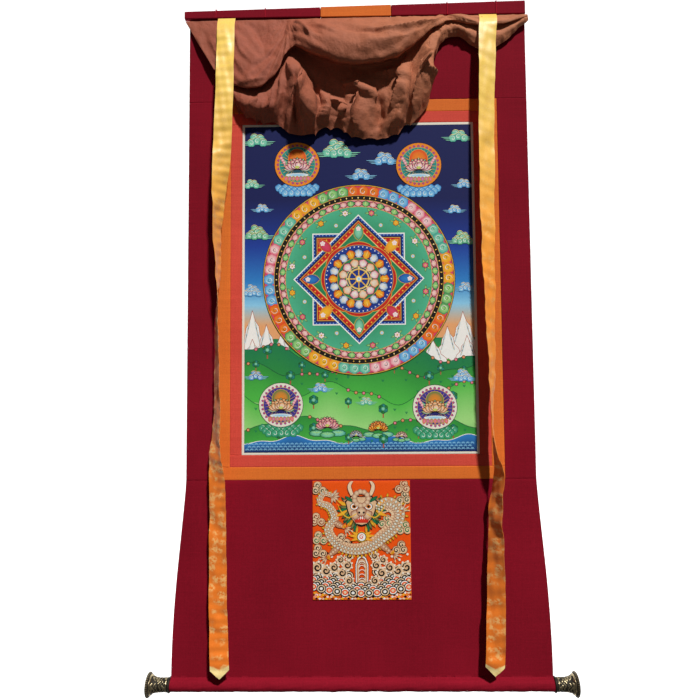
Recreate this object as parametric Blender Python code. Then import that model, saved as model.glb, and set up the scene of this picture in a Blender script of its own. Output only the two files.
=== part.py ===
"""Thangka scroll painting: a painted canvas in a sewn cloth mount that hangs from its heading.

Metres. +X is to the viewer's right, +Y is away from the viewer, towards the wall, and +Z is up.
The origin is the middle of the heading's top edge, in the plane of the cloth's front face.
Depths in front of the cloth are named "out" and count towards the viewer, along -Y.
Drops count down from the origin, along -Z.
"""

import math
from collections import namedtuple

import bmesh
import bpy
from mathutils import Vector

GAP = 0.0003  # between pieces that touch
CLOTH = 0.0016  # lined cloth of the mount

# Heading: a stiff pieced band, deeper at its right end, where its top edge rises
HEADING_TILT = math.radians(1.0)
HEADING_DROP = 0.0215
HEADING_OUT = 0.005
HEADING_BACK = 0.0045
HEADING_ROUND = 0.002
HEADING_SEAMS = (-0.340, -0.071, 0.068, 0.331)
HEADING_NAMES = ("heading_left", "heading_centre", "heading_right")

# Thread ties round the heading
TIE_PLACES = (-0.277, -0.180, 0.178, 0.274)
TIE_THREAD = 0.0007  # half its thickness
TIE_RISE = 0.0022  # its knot stands this far above the band
TIE_KNOT = 0.0012  # half the knot's width

# Painting and the strips round it
PAINTING_WIDTH = 0.450
PAINTING_HEIGHT = 0.641
PAINTING_TOP = 0.2355
CANVAS = 0.0014
RED_WIDTH = 0.0225
ORANGE_WIDTH = 0.024

# Maroon cloth
MOUNT_HALF = 0.330
FLARE = 0.023  # how much further out the foot reaches on each side
FLUTE_OUT = 0.0026
BROAD_WAVE = 0.28  # from one wave of the loose foot to the next
NARROW_WAVE = 0.17
WAVE_CREST = 0.03
STITCH_DROP = 1.2845

# Brocade square
DOOR_WIDTH = 0.183
DOOR_HEIGHT = 0.219
DOOR_CENTRE = 0.001
DOOR_TOP = 0.925
DOOR_THICK = 0.0012
DOOR_GAP = 0.0005

# Roller
ROLLER_DROP = 1.2975
ROLLER_CENTRE = -0.002
SLEEVE_RADIUS = 0.0121
SLEEVE_HALF = 0.353
ROD_RADIUS = 0.0100
SOCKET_DEPTH = 0.020
CAP_LENGTH = 0.040
CAP_START = SLEEVE_HALF + 0.0006

# Dust cover: one column of the veil a row, from the left edge to the right corner
COVER_CLOTH = 0.0012
COVER_ACROSS = 3  # columns of faces between two rows of the table
COVER_DOWN = 4  # rows of faces between two points of a column's path
COVER_HEM_OUT = 0.007
Fold = namedtuple(
    "Fold",
    "across lean seam_drop belly_out lip_drop lip_out tuck_out roll_drop roll_out hem_drop",
)
COVER_FOLDS = (
    Fold(-0.338, 0.106, 0.0265, 0.010, 0.130, 0.016, 0.012, 0.176, 0.014, 0.211),
    Fold(-0.259, 0.031, 0.0262, 0.014, 0.170, 0.024, 0.011, 0.192, 0.020, 0.213),
    Fold(-0.220, 0.035, 0.0260, 0.022, 0.187, 0.034, 0.010, 0.214, 0.030, 0.232),
    Fold(-0.170, 0.010, 0.0258, 0.020, 0.177, 0.030, 0.011, 0.208, 0.028, 0.232),
    Fold(-0.139, -0.004, 0.0258, 0.012, 0.120, 0.024, 0.014, 0.179, 0.026, 0.230),
    Fold(-0.123, 0.022, 0.0258, 0.014, 0.140, 0.032, 0.010, 0.215, 0.030, 0.266),
    Fold(-0.095, 0.022, 0.0255, 0.018, 0.135, 0.046, 0.010, 0.210, 0.022, 0.250),
    Fold(-0.052, 0.014, 0.0250, 0.040, 0.147, 0.060, 0.012, 0.215, 0.018, 0.248),
    Fold(-0.003, -0.008, 0.0245, 0.048, 0.153, 0.066, 0.013, 0.212, 0.030, 0.264),
    Fold(0.056, -0.003, 0.0242, 0.048, 0.146, 0.066, 0.013, 0.190, 0.030, 0.267),
    Fold(0.105, -0.017, 0.0240, 0.038, 0.124, 0.050, 0.014, 0.178, 0.036, 0.245),
    Fold(0.140, -0.009, 0.0238, 0.024, 0.092, 0.034, 0.013, 0.153, 0.036, 0.218),
    Fold(0.168, -0.022, 0.0236, 0.014, 0.060, 0.020, 0.010, 0.095, 0.020, 0.135),
    Fold(0.193, 0.005, 0.0236, 0.014, 0.040, 0.020, 0.010, 0.052, 0.018, 0.066),
    Fold(0.242, 0.002, 0.0236, 0.014, 0.052, 0.021, 0.011, 0.072, 0.018, 0.095),
    Fold(0.291, -0.002, 0.0236, 0.014, 0.046, 0.019, 0.010, 0.060, 0.016, 0.076),
    Fold(0.332, 0.001, 0.0236, 0.009, 0.025, 0.011, 0.009, 0.030, 0.010, 0.037),
)

# Ribbons: one station a row; turn is how far the ribbon has turned about its length
RIBBON_WIDTH = 0.034
RIBBON_CLOTH = 0.0008
RIBBON_ACROSS = 4
RIBBON_DOWN = 3  # rows of faces between two stations
RIBBON_POINT = 0.016
Station = namedtuple("Station", "drop across out turn")
RIBBON_LEFT = (
    Station(0.0240, -0.255, 0.0075, 0),
    Station(0.050, -0.254, 0.021, 0),
    Station(0.100, -0.253, 0.029, 0),
    Station(0.185, -0.252, 0.040, 0),
    Station(0.280, -0.255, 0.040, 6),
    Station(0.330, -0.2580, 0.038, 32),
    Station(0.394, -0.2630, 0.036, 60),
    Station(0.452, -0.2655, 0.035, 76),
    Station(0.530, -0.2635, 0.034, 88),
    Station(0.585, -0.2645, 0.034, 106),
    Station(0.641, -0.2660, 0.033, 113),
    Station(0.771, -0.2640, 0.033, 121),
    Station(0.863, -0.2675, 0.032, 134),
    Station(0.905, -0.2650, 0.031, 155),
    Station(0.972, -0.2630, 0.030, 162),
    Station(1.134, -0.2620, 0.028, 174),
    Station(1.206, -0.2605, 0.027, 182),
    Station(1.260, -0.2590, 0.026, 190),
)
RIBBON_RIGHT = (
    Station(0.0240, 0.2560, 0.0075, 0),
    Station(0.042, 0.2540, 0.022, 0),
    Station(0.075, 0.2510, 0.027, 6),
    Station(0.187, 0.2467, 0.028, 20),
    Station(0.284, 0.2447, 0.028, 20),
    Station(0.381, 0.2433, 0.029, 25),
    Station(0.476, 0.2427, 0.030, 33),
    Station(0.570, 0.2434, 0.030, 42),
    Station(0.645, 0.2440, 0.031, 51),
    Station(0.738, 0.2450, 0.031, 61),
    Station(0.793, 0.2420, 0.031, 71),
    Station(0.866, 0.2480, 0.031, 86),
    Station(0.903, 0.2520, 0.031, 108),
    Station(0.957, 0.2470, 0.030, 117),
    Station(1.037, 0.2445, 0.030, 131),
    Station(1.100, 0.2440, 0.029, 146),
    Station(1.215, 0.2415, 0.027, 165),
    Station(1.256, 0.2395, 0.026, 172),
)

# Worked out
BORDER = RED_WIDTH + ORANGE_WIDTH
BORDER_HALF = PAINTING_WIDTH / 2 + BORDER
BORDER_TOP = PAINTING_TOP - BORDER
PAINTING_BOTTOM = PAINTING_TOP + PAINTING_HEIGHT
BORDER_BOTTOM = PAINTING_BOTTOM + BORDER


# ---------------------------------------------------------------- materials


def material(name, colour, roughness, metallic=0.0):
    """A plain Principled material."""
    made = bpy.data.materials.new(name)
    made.use_nodes = True
    shader = made.node_tree.nodes["Principled BSDF"]
    shader.inputs["Base Color"].default_value = (*colour, 1.0)
    shader.inputs["Roughness"].default_value = roughness
    shader.inputs["Metallic"].default_value = metallic
    return made


def maroon_cloth():
    return material("maroon_cloth", (0.20, 0.008, 0.020), 0.85)


def orange_cloth():
    return material("orange_cloth", (0.62, 0.14, 0.018), 0.75)


def red_cloth():
    return material("red_cloth", (0.62, 0.055, 0.040), 0.75)


def painted_canvas():
    return material("painted_canvas", (0.03, 0.22, 0.12), 0.7)


def brocade():
    return material("brocade", (0.70, 0.20, 0.05), 0.6)


def veil_silk():
    return material("veil_silk", (0.22, 0.075, 0.045), 0.65)


def ribbon_satin():
    return material("ribbon_satin", (0.80, 0.42, 0.08), 0.4)


def tie_thread():
    return material("tie_thread", (0.70, 0.03, 0.05), 0.7)


def rod_wood():
    return material("rod_wood", (0.35, 0.20, 0.10), 0.6)


def cap_metal():
    return material("cap_metal", (0.45, 0.38, 0.26), 0.35, 1.0)


# ---------------------------------------------------------------- helpers


def add_object(name, points, faces, finish, smooth=False):
    """A mesh object with outward faces, in one material."""
    mesh = bpy.data.meshes.new(name)
    mesh.from_pydata(points, [], faces)
    shape = bmesh.new()
    shape.from_mesh(mesh)
    bmesh.ops.recalc_face_normals(shape, faces=shape.faces)
    shape.to_mesh(mesh)
    shape.free()
    if smooth:
        mesh.shade_smooth()
        mesh.set_sharp_from_angle(angle=math.radians(50))
    mesh.materials.append(finish)
    made = bpy.data.objects.new(name, mesh)
    bpy.context.scene.collection.objects.link(made)
    return made


def sheet_faces(rows, columns):
    """Faces of a closed sheet: a front grid of points, then its back grid, then the rim."""
    back = rows * columns
    faces = []
    for i in range(rows - 1):
        for j in range(columns - 1):
            a = i * columns + j
            b = a + columns
            faces.append((a, a + 1, b + 1, b))
            faces.append((back + a, back + b, back + b + 1, back + a + 1))
    rim = [(0, j) for j in range(columns)]
    rim += [(i, columns - 1) for i in range(1, rows)]
    rim += [(rows - 1, j) for j in range(columns - 2, -1, -1)]
    rim += [(i, 0) for i in range(rows - 2, 0, -1)]
    loop = [i * columns + j for i, j in rim]
    for a, b in zip(loop, loop[1:] + loop[:1]):
        faces.append((a, back + a, back + b, b))
    return faces


def between(a, b, t):
    return a + (b - a) * t


def smooth_at(before, a, b, after, t):
    """A smooth curve from a to b that also heeds the values on either side."""
    start = (b - before) / 2
    end = (after - a) / 2
    ease = t * t * (3 - 2 * t)
    return a + (b - a) * ease + start * t * (1 - t) ** 2 - end * t * t * (1 - t)


def smooth_rows(rows, steps):
    """A table's rows with smooth rows put in between, so that each step has the same share."""
    last = len(rows) - 1
    made = []
    for i in range(last):
        near = [rows[max(i - 1, 0)], rows[i], rows[i + 1], rows[min(i + 2, last)]]
        for k in range(steps):
            made.append(tuple(smooth_at(*values, k / steps) for values in zip(*near)))
    made.append(tuple(float(value) for value in rows[last]))
    return made


def thick_sheet(name, grid, thickness, finish):
    """A closed sheet about a grid of (x, out, drop) points, thickened evenly to both sides."""
    rows = len(grid)
    columns = len(grid[0])
    front = []
    back = []
    for i in range(rows):
        for j in range(columns):
            along = Vector(grid[i][min(j + 1, columns - 1)]) - Vector(grid[i][max(j - 1, 0)])
            down = Vector(grid[min(i + 1, rows - 1)][j]) - Vector(grid[max(i - 1, 0)][j])
            normal = along.cross(down).normalized() * (thickness / 2)
            x, out, drop = grid[i][j]
            middle = Vector((x, out, drop))
            front.append(to_world(middle - normal))
            back.append(to_world(middle + normal))
    return add_object(name, front + back, sheet_faces(rows, columns), finish, smooth=True)


def to_world(point):
    """(x, out, drop) as (x, y, z)."""
    x, out, drop = point
    return (x, -out, -drop)


def flat_piece(name, left, right, top, bottom, thickness, finish, columns=1, rows=1):
    """A flat cut piece. Its front is in the plane of the mount's front."""
    xs = [between(left, right, j / columns) for j in range(columns + 1)]
    drops = [between(top, bottom, i / rows) for i in range(rows + 1)]
    front = [(x, 0.0, -drop) for drop in drops for x in xs]
    back = [(x, thickness, -drop) for drop in drops for x in xs]
    return add_object(name, front + back, sheet_faces(rows + 1, columns + 1), finish)


# ---------------------------------------------------------------- heading


def heading(finishes):
    """The band along the top, pieced from three lengths."""
    half_gap = GAP / 2
    for name, left, right, finish in zip(HEADING_NAMES, HEADING_SEAMS, HEADING_SEAMS[1:], finishes):
        low = 0.0 if name == HEADING_NAMES[0] else half_gap
        high = 0.0 if name == HEADING_NAMES[-1] else half_gap
        corners = [
            (x, y, z)
            for x in (left + low, right - high)
            for y in (-HEADING_OUT, HEADING_BACK)
            for z in (-HEADING_DROP, x * math.tan(HEADING_TILT))
        ]
        faces = [(0, 1, 3, 2), (4, 6, 7, 5), (0, 4, 5, 1), (2, 3, 7, 6), (0, 2, 6, 4), (1, 5, 7, 3)]
        band = add_object(name, corners, faces, finish)
        edges = band.modifiers.new("rounded", "BEVEL")
        edges.width = HEADING_ROUND
        edges.segments = 2
        edges.limit_method = "ANGLE"
        if name == HEADING_NAMES[1]:
            edges.width = HEADING_ROUND / 2


def thread_ties(finish):
    """Four stitches of thread over the band, each with its knot standing up at the top."""
    clear = TIE_THREAD + GAP
    front = -HEADING_OUT - clear
    back = HEADING_BACK + clear
    bottom = -HEADING_DROP + TIE_THREAD
    mid = (front + back) / 2
    for number, place in enumerate(TIE_PLACES, start=1):
        top = place * math.tan(HEADING_TILT) + clear
        route = (
            (front, bottom),
            (front, top),
            (mid - TIE_KNOT, top),
            (mid, top + TIE_RISE),
            (mid + TIE_KNOT, top),
            (back, top),
            (back, bottom),
        )
        line = bpy.data.curves.new(f"tie_{number}", "CURVE")
        line.dimensions = "3D"
        line.bevel_depth = TIE_THREAD
        line.bevel_resolution = 1
        line.use_fill_caps = True
        loop = line.splines.new("POLY")
        loop.points.add(len(route) - 1)
        for point, (y, z) in zip(loop.points, route):
            point.co = (place, y, z, 1.0)
        line.materials.append(finish)
        tie = bpy.data.objects.new(f"tie_{number}", line)
        bpy.context.scene.collection.objects.link(tie)


# ---------------------------------------------------------------- mount cloth


def flare(drop):
    """From 0 at the border's foot to 1 at the roller: how much the cloth has widened."""
    t = min(max((drop - BORDER_BOTTOM) / (STITCH_DROP - BORDER_BOTTOM), 0.0), 1.0)
    return math.sin(t * math.pi / 2) ** 1.25


def flute(x, drop):
    """How far the loose foot of the cloth waves towards the viewer."""
    t = min(max((drop - BORDER_BOTTOM) / (STITCH_DROP - BORDER_BOTTOM), 0.0), 1.0)
    swell = math.sin(t * math.pi)
    broad = 0.7 * math.cos(math.tau * (x - WAVE_CREST) / BROAD_WAVE)
    narrow = 0.3 * math.sin(math.tau * x / NARROW_WAVE)
    return FLUTE_OUT * swell * (0.4 + broad + narrow)


def top_panel(finish):
    """From the heading to the border."""
    top = HEADING_DROP + GAP
    flat_piece("top_panel", -MOUNT_HALF, MOUNT_HALF, top, BORDER_TOP - GAP, CLOTH, finish, 12)


def side_panels(finish):
    """The two strips beside the border."""
    inner = BORDER_HALF + GAP
    for name, left, right in (
        ("left_panel", -MOUNT_HALF, -inner),
        ("right_panel", inner, MOUNT_HALF),
    ):
        flat_piece(name, left, right, BORDER_TOP, BORDER_BOTTOM, CLOTH, finish, 1, 12)


def bottom_panel(finish):
    """The flared foot of the cloth, with its hem wrapped once round the rod."""
    columns = 24
    panel_rows = 17
    sleeve_rows = 18
    first_turn = math.radians(14)  # where the cloth meets the sleeve's round, forward of its top
    last_turn = math.radians(347)  # where the hem ends, just behind the cloth again
    middle = SLEEVE_RADIUS - CLOTH / 2
    section = []
    for i in range(panel_rows + 1):
        drop = between(BORDER_BOTTOM + GAP, STITCH_DROP, i / panel_rows)
        section.append((-CLOTH / 2, drop))
    for i in range(sleeve_rows + 1):
        turn = between(first_turn, last_turn, i / sleeve_rows)
        section.append((middle * math.sin(turn), ROLLER_DROP - middle * math.cos(turn)))
    front = []
    back = []
    for i, (out, drop) in enumerate(section):
        out_0, drop_0 = section[max(i - 1, 0)]
        out_1, drop_1 = section[min(i + 1, len(section) - 1)]
        length = math.hypot(out_1 - out_0, drop_1 - drop_0)
        face_out = (drop_1 - drop_0) / length * CLOTH / 2
        face_drop = -(out_1 - out_0) / length * CLOTH / 2
        if i <= panel_rows:
            half = MOUNT_HALF + FLARE * flare(drop)
            centre = ROLLER_CENTRE * flare(drop)
        else:
            half = SLEEVE_HALF
            centre = ROLLER_CENTRE
        for j in range(columns + 1):
            x = centre + between(-half, half, j / columns)
            wave = flute(x, drop) if i <= panel_rows else 0.0
            front.append((x, -(out + face_out + wave), -(drop + face_drop)))
            back.append((x, -(out - face_out + wave), -(drop - face_drop)))
    faces = sheet_faces(len(section), columns + 1)
    add_object("bottom_panel", front + back, faces, finish, smooth=True)


def border(name, inner_half, inner_top, inner_bottom, width, finish):
    """Four strips round an opening: the long top and bottom ones, and the sides between them."""
    outer = inner_half + width
    seam = GAP / 2
    top = inner_top - seam
    bottom = inner_bottom + seam
    flat_piece(f"{name}_top", -outer, outer, inner_top - width, top, CLOTH, finish, 8)
    flat_piece(f"{name}_bottom", -outer, outer, bottom, inner_bottom + width, CLOTH, finish, 8)
    top = inner_top + seam
    bottom = inner_bottom - seam
    flat_piece(f"{name}_left", -outer, -inner_half, top, bottom, CLOTH, finish, 1, 8)
    flat_piece(f"{name}_right", inner_half, outer, top, bottom, CLOTH, finish, 1, 8)


def borders(red, orange):
    """The red strips round the painting and the orange strips round those."""
    half = PAINTING_WIDTH / 2
    border("red", half, PAINTING_TOP, PAINTING_BOTTOM, RED_WIDTH - GAP, red)
    border(
        "orange",
        half + RED_WIDTH,
        PAINTING_TOP - RED_WIDTH,
        PAINTING_BOTTOM + RED_WIDTH,
        ORANGE_WIDTH,
        orange,
    )


def painting(finish):
    """The canvas, inside the red strips."""
    half = PAINTING_WIDTH / 2 - GAP
    top = PAINTING_TOP + GAP
    bottom = PAINTING_BOTTOM - GAP
    flat_piece("painting", -half, half, top, bottom, CANVAS, finish, 6, 8)


def door(finish):
    """The brocade square, sewn on the foot of the cloth and waving with it."""
    columns = 7
    rows = 10
    back_out = DOOR_GAP
    front = []
    back = []
    for i in range(rows + 1):
        drop = between(DOOR_TOP, DOOR_TOP + DOOR_HEIGHT, i / rows)
        for j in range(columns + 1):
            x = DOOR_CENTRE + between(-0.5, 0.5, j / columns) * DOOR_WIDTH
            out = flute(x, drop) + back_out
            front.append((x, -(out + DOOR_THICK), -drop))
            back.append((x, -out, -drop))
    add_object("door", front + back, sheet_faces(rows + 1, columns + 1), finish, smooth=True)


# ---------------------------------------------------------------- draped pieces


def cover_column(fold):
    """One column of the veil from its seam to its hem, as points (x, out, drop).

    The cloth swells over its belly, turns under at the lip, tucks back to the mount, comes
    forward again over a second roll and ends at the hem.
    """
    fall = fold.lip_drop - fold.seam_drop
    below = fold.hem_drop - fold.roll_drop
    path = (
        (0.004, fold.seam_drop),
        (fold.belly_out, fold.seam_drop + 0.42 * fall),
        (fold.lip_out, fold.lip_drop),
        (fold.tuck_out, fold.lip_drop - 0.08 * fall),
        (fold.roll_out, fold.roll_drop),
        (between(COVER_HEM_OUT, fold.roll_out, 0.6), fold.roll_drop + 0.55 * below),
        (COVER_HEM_OUT, fold.hem_drop),
    )
    length = fold.hem_drop - fold.seam_drop
    return [
        (fold.across + fold.lean * (drop - fold.seam_drop) / length, out, drop)
        for out, drop in path
    ]


def dust_cover(finish):
    """The silk veil, gathered up in swags between pinched folds."""
    folds = [Fold(*row) for row in smooth_rows(COVER_FOLDS, COVER_ACROSS)]
    columns = [smooth_rows(cover_column(fold), COVER_DOWN) for fold in folds]
    grid = [list(row) for row in zip(*columns)]
    thick_sheet("dust_cover", grid, COVER_CLOTH, finish)


def ribbon(name, stations, finish):
    """A ribbon that turns about its own length as it hangs, cut to a point at its foot."""
    rows = [Station(*row) for row in smooth_rows(stations, RIBBON_DOWN)]
    grid = []
    for i, row in enumerate(rows):
        turn = math.radians(row.turn)
        ending = max(0.0, 1 - (len(rows) - 1 - i) / RIBBON_DOWN)
        line = []
        for j in range(RIBBON_ACROSS + 1):
            side = between(-1.0, 1.0, j / RIBBON_ACROSS)
            half = side * RIBBON_WIDTH / 2
            drop = row.drop + ending * RIBBON_POINT * (1 - abs(side))
            line.append((row.across + half * math.cos(turn), row.out - half * math.sin(turn), drop))
        grid.append(line)
    thick_sheet(name, grid, RIBBON_CLOTH, finish)


# ---------------------------------------------------------------- roller


def turned(name, profile, segments, start, outward, finish):
    """A turned piece along X. The profile is (along, radius), from the axis back to the axis."""
    points = []
    rings = []
    for along, radius in profile:
        x = start + outward * along
        if radius == 0.0:
            rings.append([len(points)])
            points.append((x, 0.0, -ROLLER_DROP))
            continue
        rings.append(list(range(len(points), len(points) + segments)))
        for k in range(segments):
            angle = math.tau * k / segments
            points.append((x, radius * math.cos(angle), -ROLLER_DROP + radius * math.sin(angle)))
    faces = []
    for a, b in zip(rings, rings[1:]):
        for k in range(segments):
            n = (k + 1) % segments
            if len(a) == 1:
                faces.append((a[0], b[k], b[n]))
            elif len(b) == 1:
                faces.append((a[k], b[0], a[n]))
            else:
                faces.append((a[k], b[k], b[n], a[n]))
    return add_object(name, points, faces, finish, smooth=True)


def roller_rod(finish):
    """The wooden rod, from inside one cap to inside the other."""
    half = CAP_START + SOCKET_DEPTH - 0.001
    profile = (
        (-half, 0.0),
        (-half, ROD_RADIUS - 0.001),
        (-half + 0.001, ROD_RADIUS),
        (half - 0.001, ROD_RADIUS),
        (half, ROD_RADIUS - 0.001),
        (half, 0.0),
    )
    turned("roller_rod", profile, 24, ROLLER_CENTRE, 1, finish)


def caps(finish):
    """The flared metal ends, each with a socket that takes the rod."""
    socket = ROD_RADIUS + 0.0004
    rim = CAP_LENGTH
    profile = (
        (SOCKET_DEPTH, 0.0),
        (SOCKET_DEPTH, socket),
        (0.0, socket),
        (0.0, 0.0132),
        (0.0008, 0.0138),
        (0.0030, 0.0138),
        (0.0040, 0.0128),
        (0.0140, 0.0123),
        (0.0230, 0.0127),
        (0.0300, 0.0145),
        (0.0350, 0.0172),
        (rim - 0.0012, 0.0206),
        (rim, 0.0215),
        (rim + 0.0014, 0.0215),
        (rim + 0.0020, 0.0205),
        (rim + 0.0010, 0.0190),
        (rim + 0.0030, 0.0100),
        (rim + 0.0036, 0.0),
    )
    for name, side in (("cap_left", -1), ("cap_right", 1)):
        turned(name, profile, 32, ROLLER_CENTRE + side * CAP_START, side, finish)


def main():
    """Builds every piece of the scroll."""
    for old in list(bpy.data.objects):
        bpy.data.objects.remove(old)
    maroon = maroon_cloth()
    orange = orange_cloth()
    heading((maroon, orange, maroon))
    thread_ties(tie_thread())
    top_panel(maroon)
    side_panels(maroon)
    bottom_panel(maroon)
    borders(red_cloth(), orange)
    painting(painted_canvas())
    door(brocade())
    dust_cover(veil_silk())
    satin = ribbon_satin()
    ribbon("ribbon_left", RIBBON_LEFT, satin)
    ribbon("ribbon_right", RIBBON_RIGHT, satin)
    roller_rod(rod_wood())
    caps(cap_metal())


main()
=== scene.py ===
"""The looks of a thangka scroll painting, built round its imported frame.

The pieces are a painted canvas and a brocade square in a pieced cloth mount, a silk veil
gathered up below the heading, two long ribbons, and a rod with metal caps in a sewn sleeve.
Metres; +X to the viewer's right, +Y away from the viewer, +Z up. "Out" is towards the
viewer and "drop" is down from the heading's top edge.
"""

import logging
import math
from collections.abc import Callable, Iterator, Sequence
from contextlib import contextmanager
from dataclasses import dataclass, field
from enum import Enum
from functools import cache, cached_property
from itertools import product

import bpy
import numpy as np
from mathutils import Matrix, Vector


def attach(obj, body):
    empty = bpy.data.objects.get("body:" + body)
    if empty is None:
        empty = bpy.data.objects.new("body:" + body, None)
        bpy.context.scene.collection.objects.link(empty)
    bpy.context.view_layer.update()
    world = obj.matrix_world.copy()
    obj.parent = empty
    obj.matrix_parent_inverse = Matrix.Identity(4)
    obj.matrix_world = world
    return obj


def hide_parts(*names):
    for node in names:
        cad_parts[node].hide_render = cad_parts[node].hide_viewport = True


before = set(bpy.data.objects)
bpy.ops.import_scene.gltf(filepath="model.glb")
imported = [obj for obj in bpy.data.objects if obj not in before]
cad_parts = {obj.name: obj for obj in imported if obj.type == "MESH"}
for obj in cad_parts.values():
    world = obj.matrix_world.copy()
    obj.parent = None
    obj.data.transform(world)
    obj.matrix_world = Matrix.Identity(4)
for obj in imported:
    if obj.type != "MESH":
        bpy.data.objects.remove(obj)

LOG = logging.getLogger("thangka")
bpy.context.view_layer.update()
Colour = tuple[float, float, float]
Grid = np.ndarray


# ------------------------------------------------------------------ shader maths


class Wire:
    """The output of a shader node, with arithmetic that adds Math nodes."""

    def __init__(self, paint: "Paint", socket: bpy.types.NodeSocket) -> None:
        """Wraps a node's output socket."""
        self.paint = paint
        self.socket = socket

    def maths(self, operation: str, *values: "Wire | float") -> "Wire":
        """One Math node's value, from its operation and its inputs in order."""
        return self.paint.node("ShaderNodeMath", {"operation": operation}, dict(enumerate(values)))

    def __add__(self, other: "Wire | float") -> "Wire":
        """The sum."""
        return self.maths("ADD", self, other)

    def __radd__(self, other: float) -> "Wire":
        """The sum, from the right."""
        return self.maths("ADD", other, self)

    def __sub__(self, other: "Wire | float") -> "Wire":
        """The difference."""
        return self.maths("SUBTRACT", self, other)

    def __rsub__(self, other: float) -> "Wire":
        """The difference, from the right."""
        return self.maths("SUBTRACT", other, self)

    def __mul__(self, other: "Wire | float") -> "Wire":
        """The product."""
        return self.maths("MULTIPLY", self, other)

    def __rmul__(self, other: float) -> "Wire":
        """The product, from the right."""
        return self.maths("MULTIPLY", other, self)

    def sine(self) -> "Wire":
        """The sine of an angle in radians."""
        return self.maths("SINE", self)

    def limit(self) -> "Wire":
        """The value kept from 0 to 1."""
        return self.maths("MINIMUM", self.maths("MAXIMUM", self, 0.0), 1.0)


class Paint:
    """A material while its nodes are being laid."""

    def __init__(self, name: str) -> None:
        """Makes an empty material with one Principled shader.

        Args:
            name: The material's name.
        """
        self.material = bpy.data.materials.new(name)
        self.material.use_nodes = True
        self.tree = self.material.node_tree
        self.shader = self.tree.nodes["Principled BSDF"]
        self.place = self.node("ShaderNodeTexCoord", output="Object")

    def node(
        self,
        kind: str,
        settings: dict | None = None,
        inputs: dict | None = None,
        output: int | str = 0,
    ) -> Wire:
        """Adds any node.

        Args:
            kind: The node's type.
            settings: Its settings, set first.
            inputs: Values or wires by socket name or number.
            output: The output to hand back.

        Returns:
            That output.
        """
        made = self.tree.nodes.new(kind)
        for key, value in (settings or {}).items():
            setattr(made, key, value)
        for key, value in (inputs or {}).items():
            self.feed(made.inputs[key], value)
        return Wire(self, made.outputs[output])

    def feed(self, socket: bpy.types.NodeSocket, value: "Wire | float | Sequence[float]") -> None:
        """Links a wire to a socket, or sets its value.

        Args:
            socket: The input.
            value: A wire, a number, or a colour or vector.
        """
        if isinstance(value, Wire):
            self.tree.links.new(value.socket, socket)
        elif isinstance(value, (int, float)):
            socket.default_value = value
        else:
            socket.default_value = (*value, 1.0)[: len(socket.default_value)]

    def coat(self, **inputs: "Wire | float | Colour") -> bpy.types.Material:
        """Sets the shader's own sockets.

        Args:
            **inputs: Values or wires by socket name, in small letters with underlines.

        Returns:
            The material.
        """
        names = {name.lower().replace(" ", "_"): name for name in self.shader.inputs.keys()}
        for key, value in inputs.items():
            self.feed(self.shader.inputs[names[key]], value)
        return self.material

    def blend(self, share: "Wire | float", first: "Wire | Colour", second: "Wire | Colour") -> Wire:
        """Two colours mixed, by how much of the second there is."""
        return self.node("ShaderNodeMix", {"data_type": "RGBA"}, {0: share, 6: first, 7: second}, 2)

    def axes(self) -> list[Wire]:
        """The X, Y and Z of the point on the object."""
        outputs = self.node("ShaderNodeSeparateXYZ", inputs={0: self.place}).socket.node.outputs
        return [Wire(self, output) for output in outputs]

    def times(self, vector: Wire, scale: Sequence[float]) -> Wire:
        """A vector or colour with each of its parts scaled."""
        return self.node("ShaderNodeVectorMath", {"operation": "MULTIPLY"}, {0: vector, 1: scale})

    def noise(
        self,
        scale: float | Sequence[float],
        detail: float = 2.0,
        rough: float = 0.5,
        place: Wire | None = None,
    ) -> Wire:
        """Soft noise from 0 to 1.

        Args:
            scale: How many blotches fit in a metre, or how many along each axis.
            detail: Octaves of finer noise.
            rough: How strong those are.
            place: Where it is read, or the point on the object.

        Returns:
            The noise value.
        """
        place = place or self.place
        if not isinstance(scale, float):
            place, scale = self.times(place, scale), 1.0
        inputs = {"Vector": place, "Scale": scale, "Detail": detail, "Roughness": rough}
        return self.node("ShaderNodeTexNoise", inputs=inputs, output="Fac")

    def attribute(self, name: str, output: str = "Color") -> Wire:
        """What the mesh carries under a name, as Color or as Fac."""
        return self.node("ShaderNodeAttribute", {"attribute_name": name}, output=output)

    def bump(self, height: Wire, distance: float) -> None:
        """Sends a height, whose 1 stands for the distance in metres, to the shader's normal."""
        inputs = {"Height": height, "Distance": distance, "Strength": 1.0}
        self.coat(normal=self.node("ShaderNodeBump", inputs=inputs))

    def weave(self, pitch: float, rib: float = 0.0) -> Wire:
        """A plain weave's height across X and Z.

        Args:
            pitch: From one thread to the next.
            rib: From 0, an even weave, to 1, ribs that run along X.

        Returns:
            The height, from 0 to 1.
        """
        drift = self.noise(90.0, 1.0) * 0.6
        across, _, up = self.axes()
        turn = math.pi / pitch
        warp = (across * turn + drift).sine()
        weft = (up * turn + drift).sine()
        crossing = warp * weft
        return (crossing * crossing) * (1.0 - rib) * 0.5 + weft * weft * (0.4 + 0.6 * rib)


# ------------------------------------------------------------------ finishes


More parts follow.
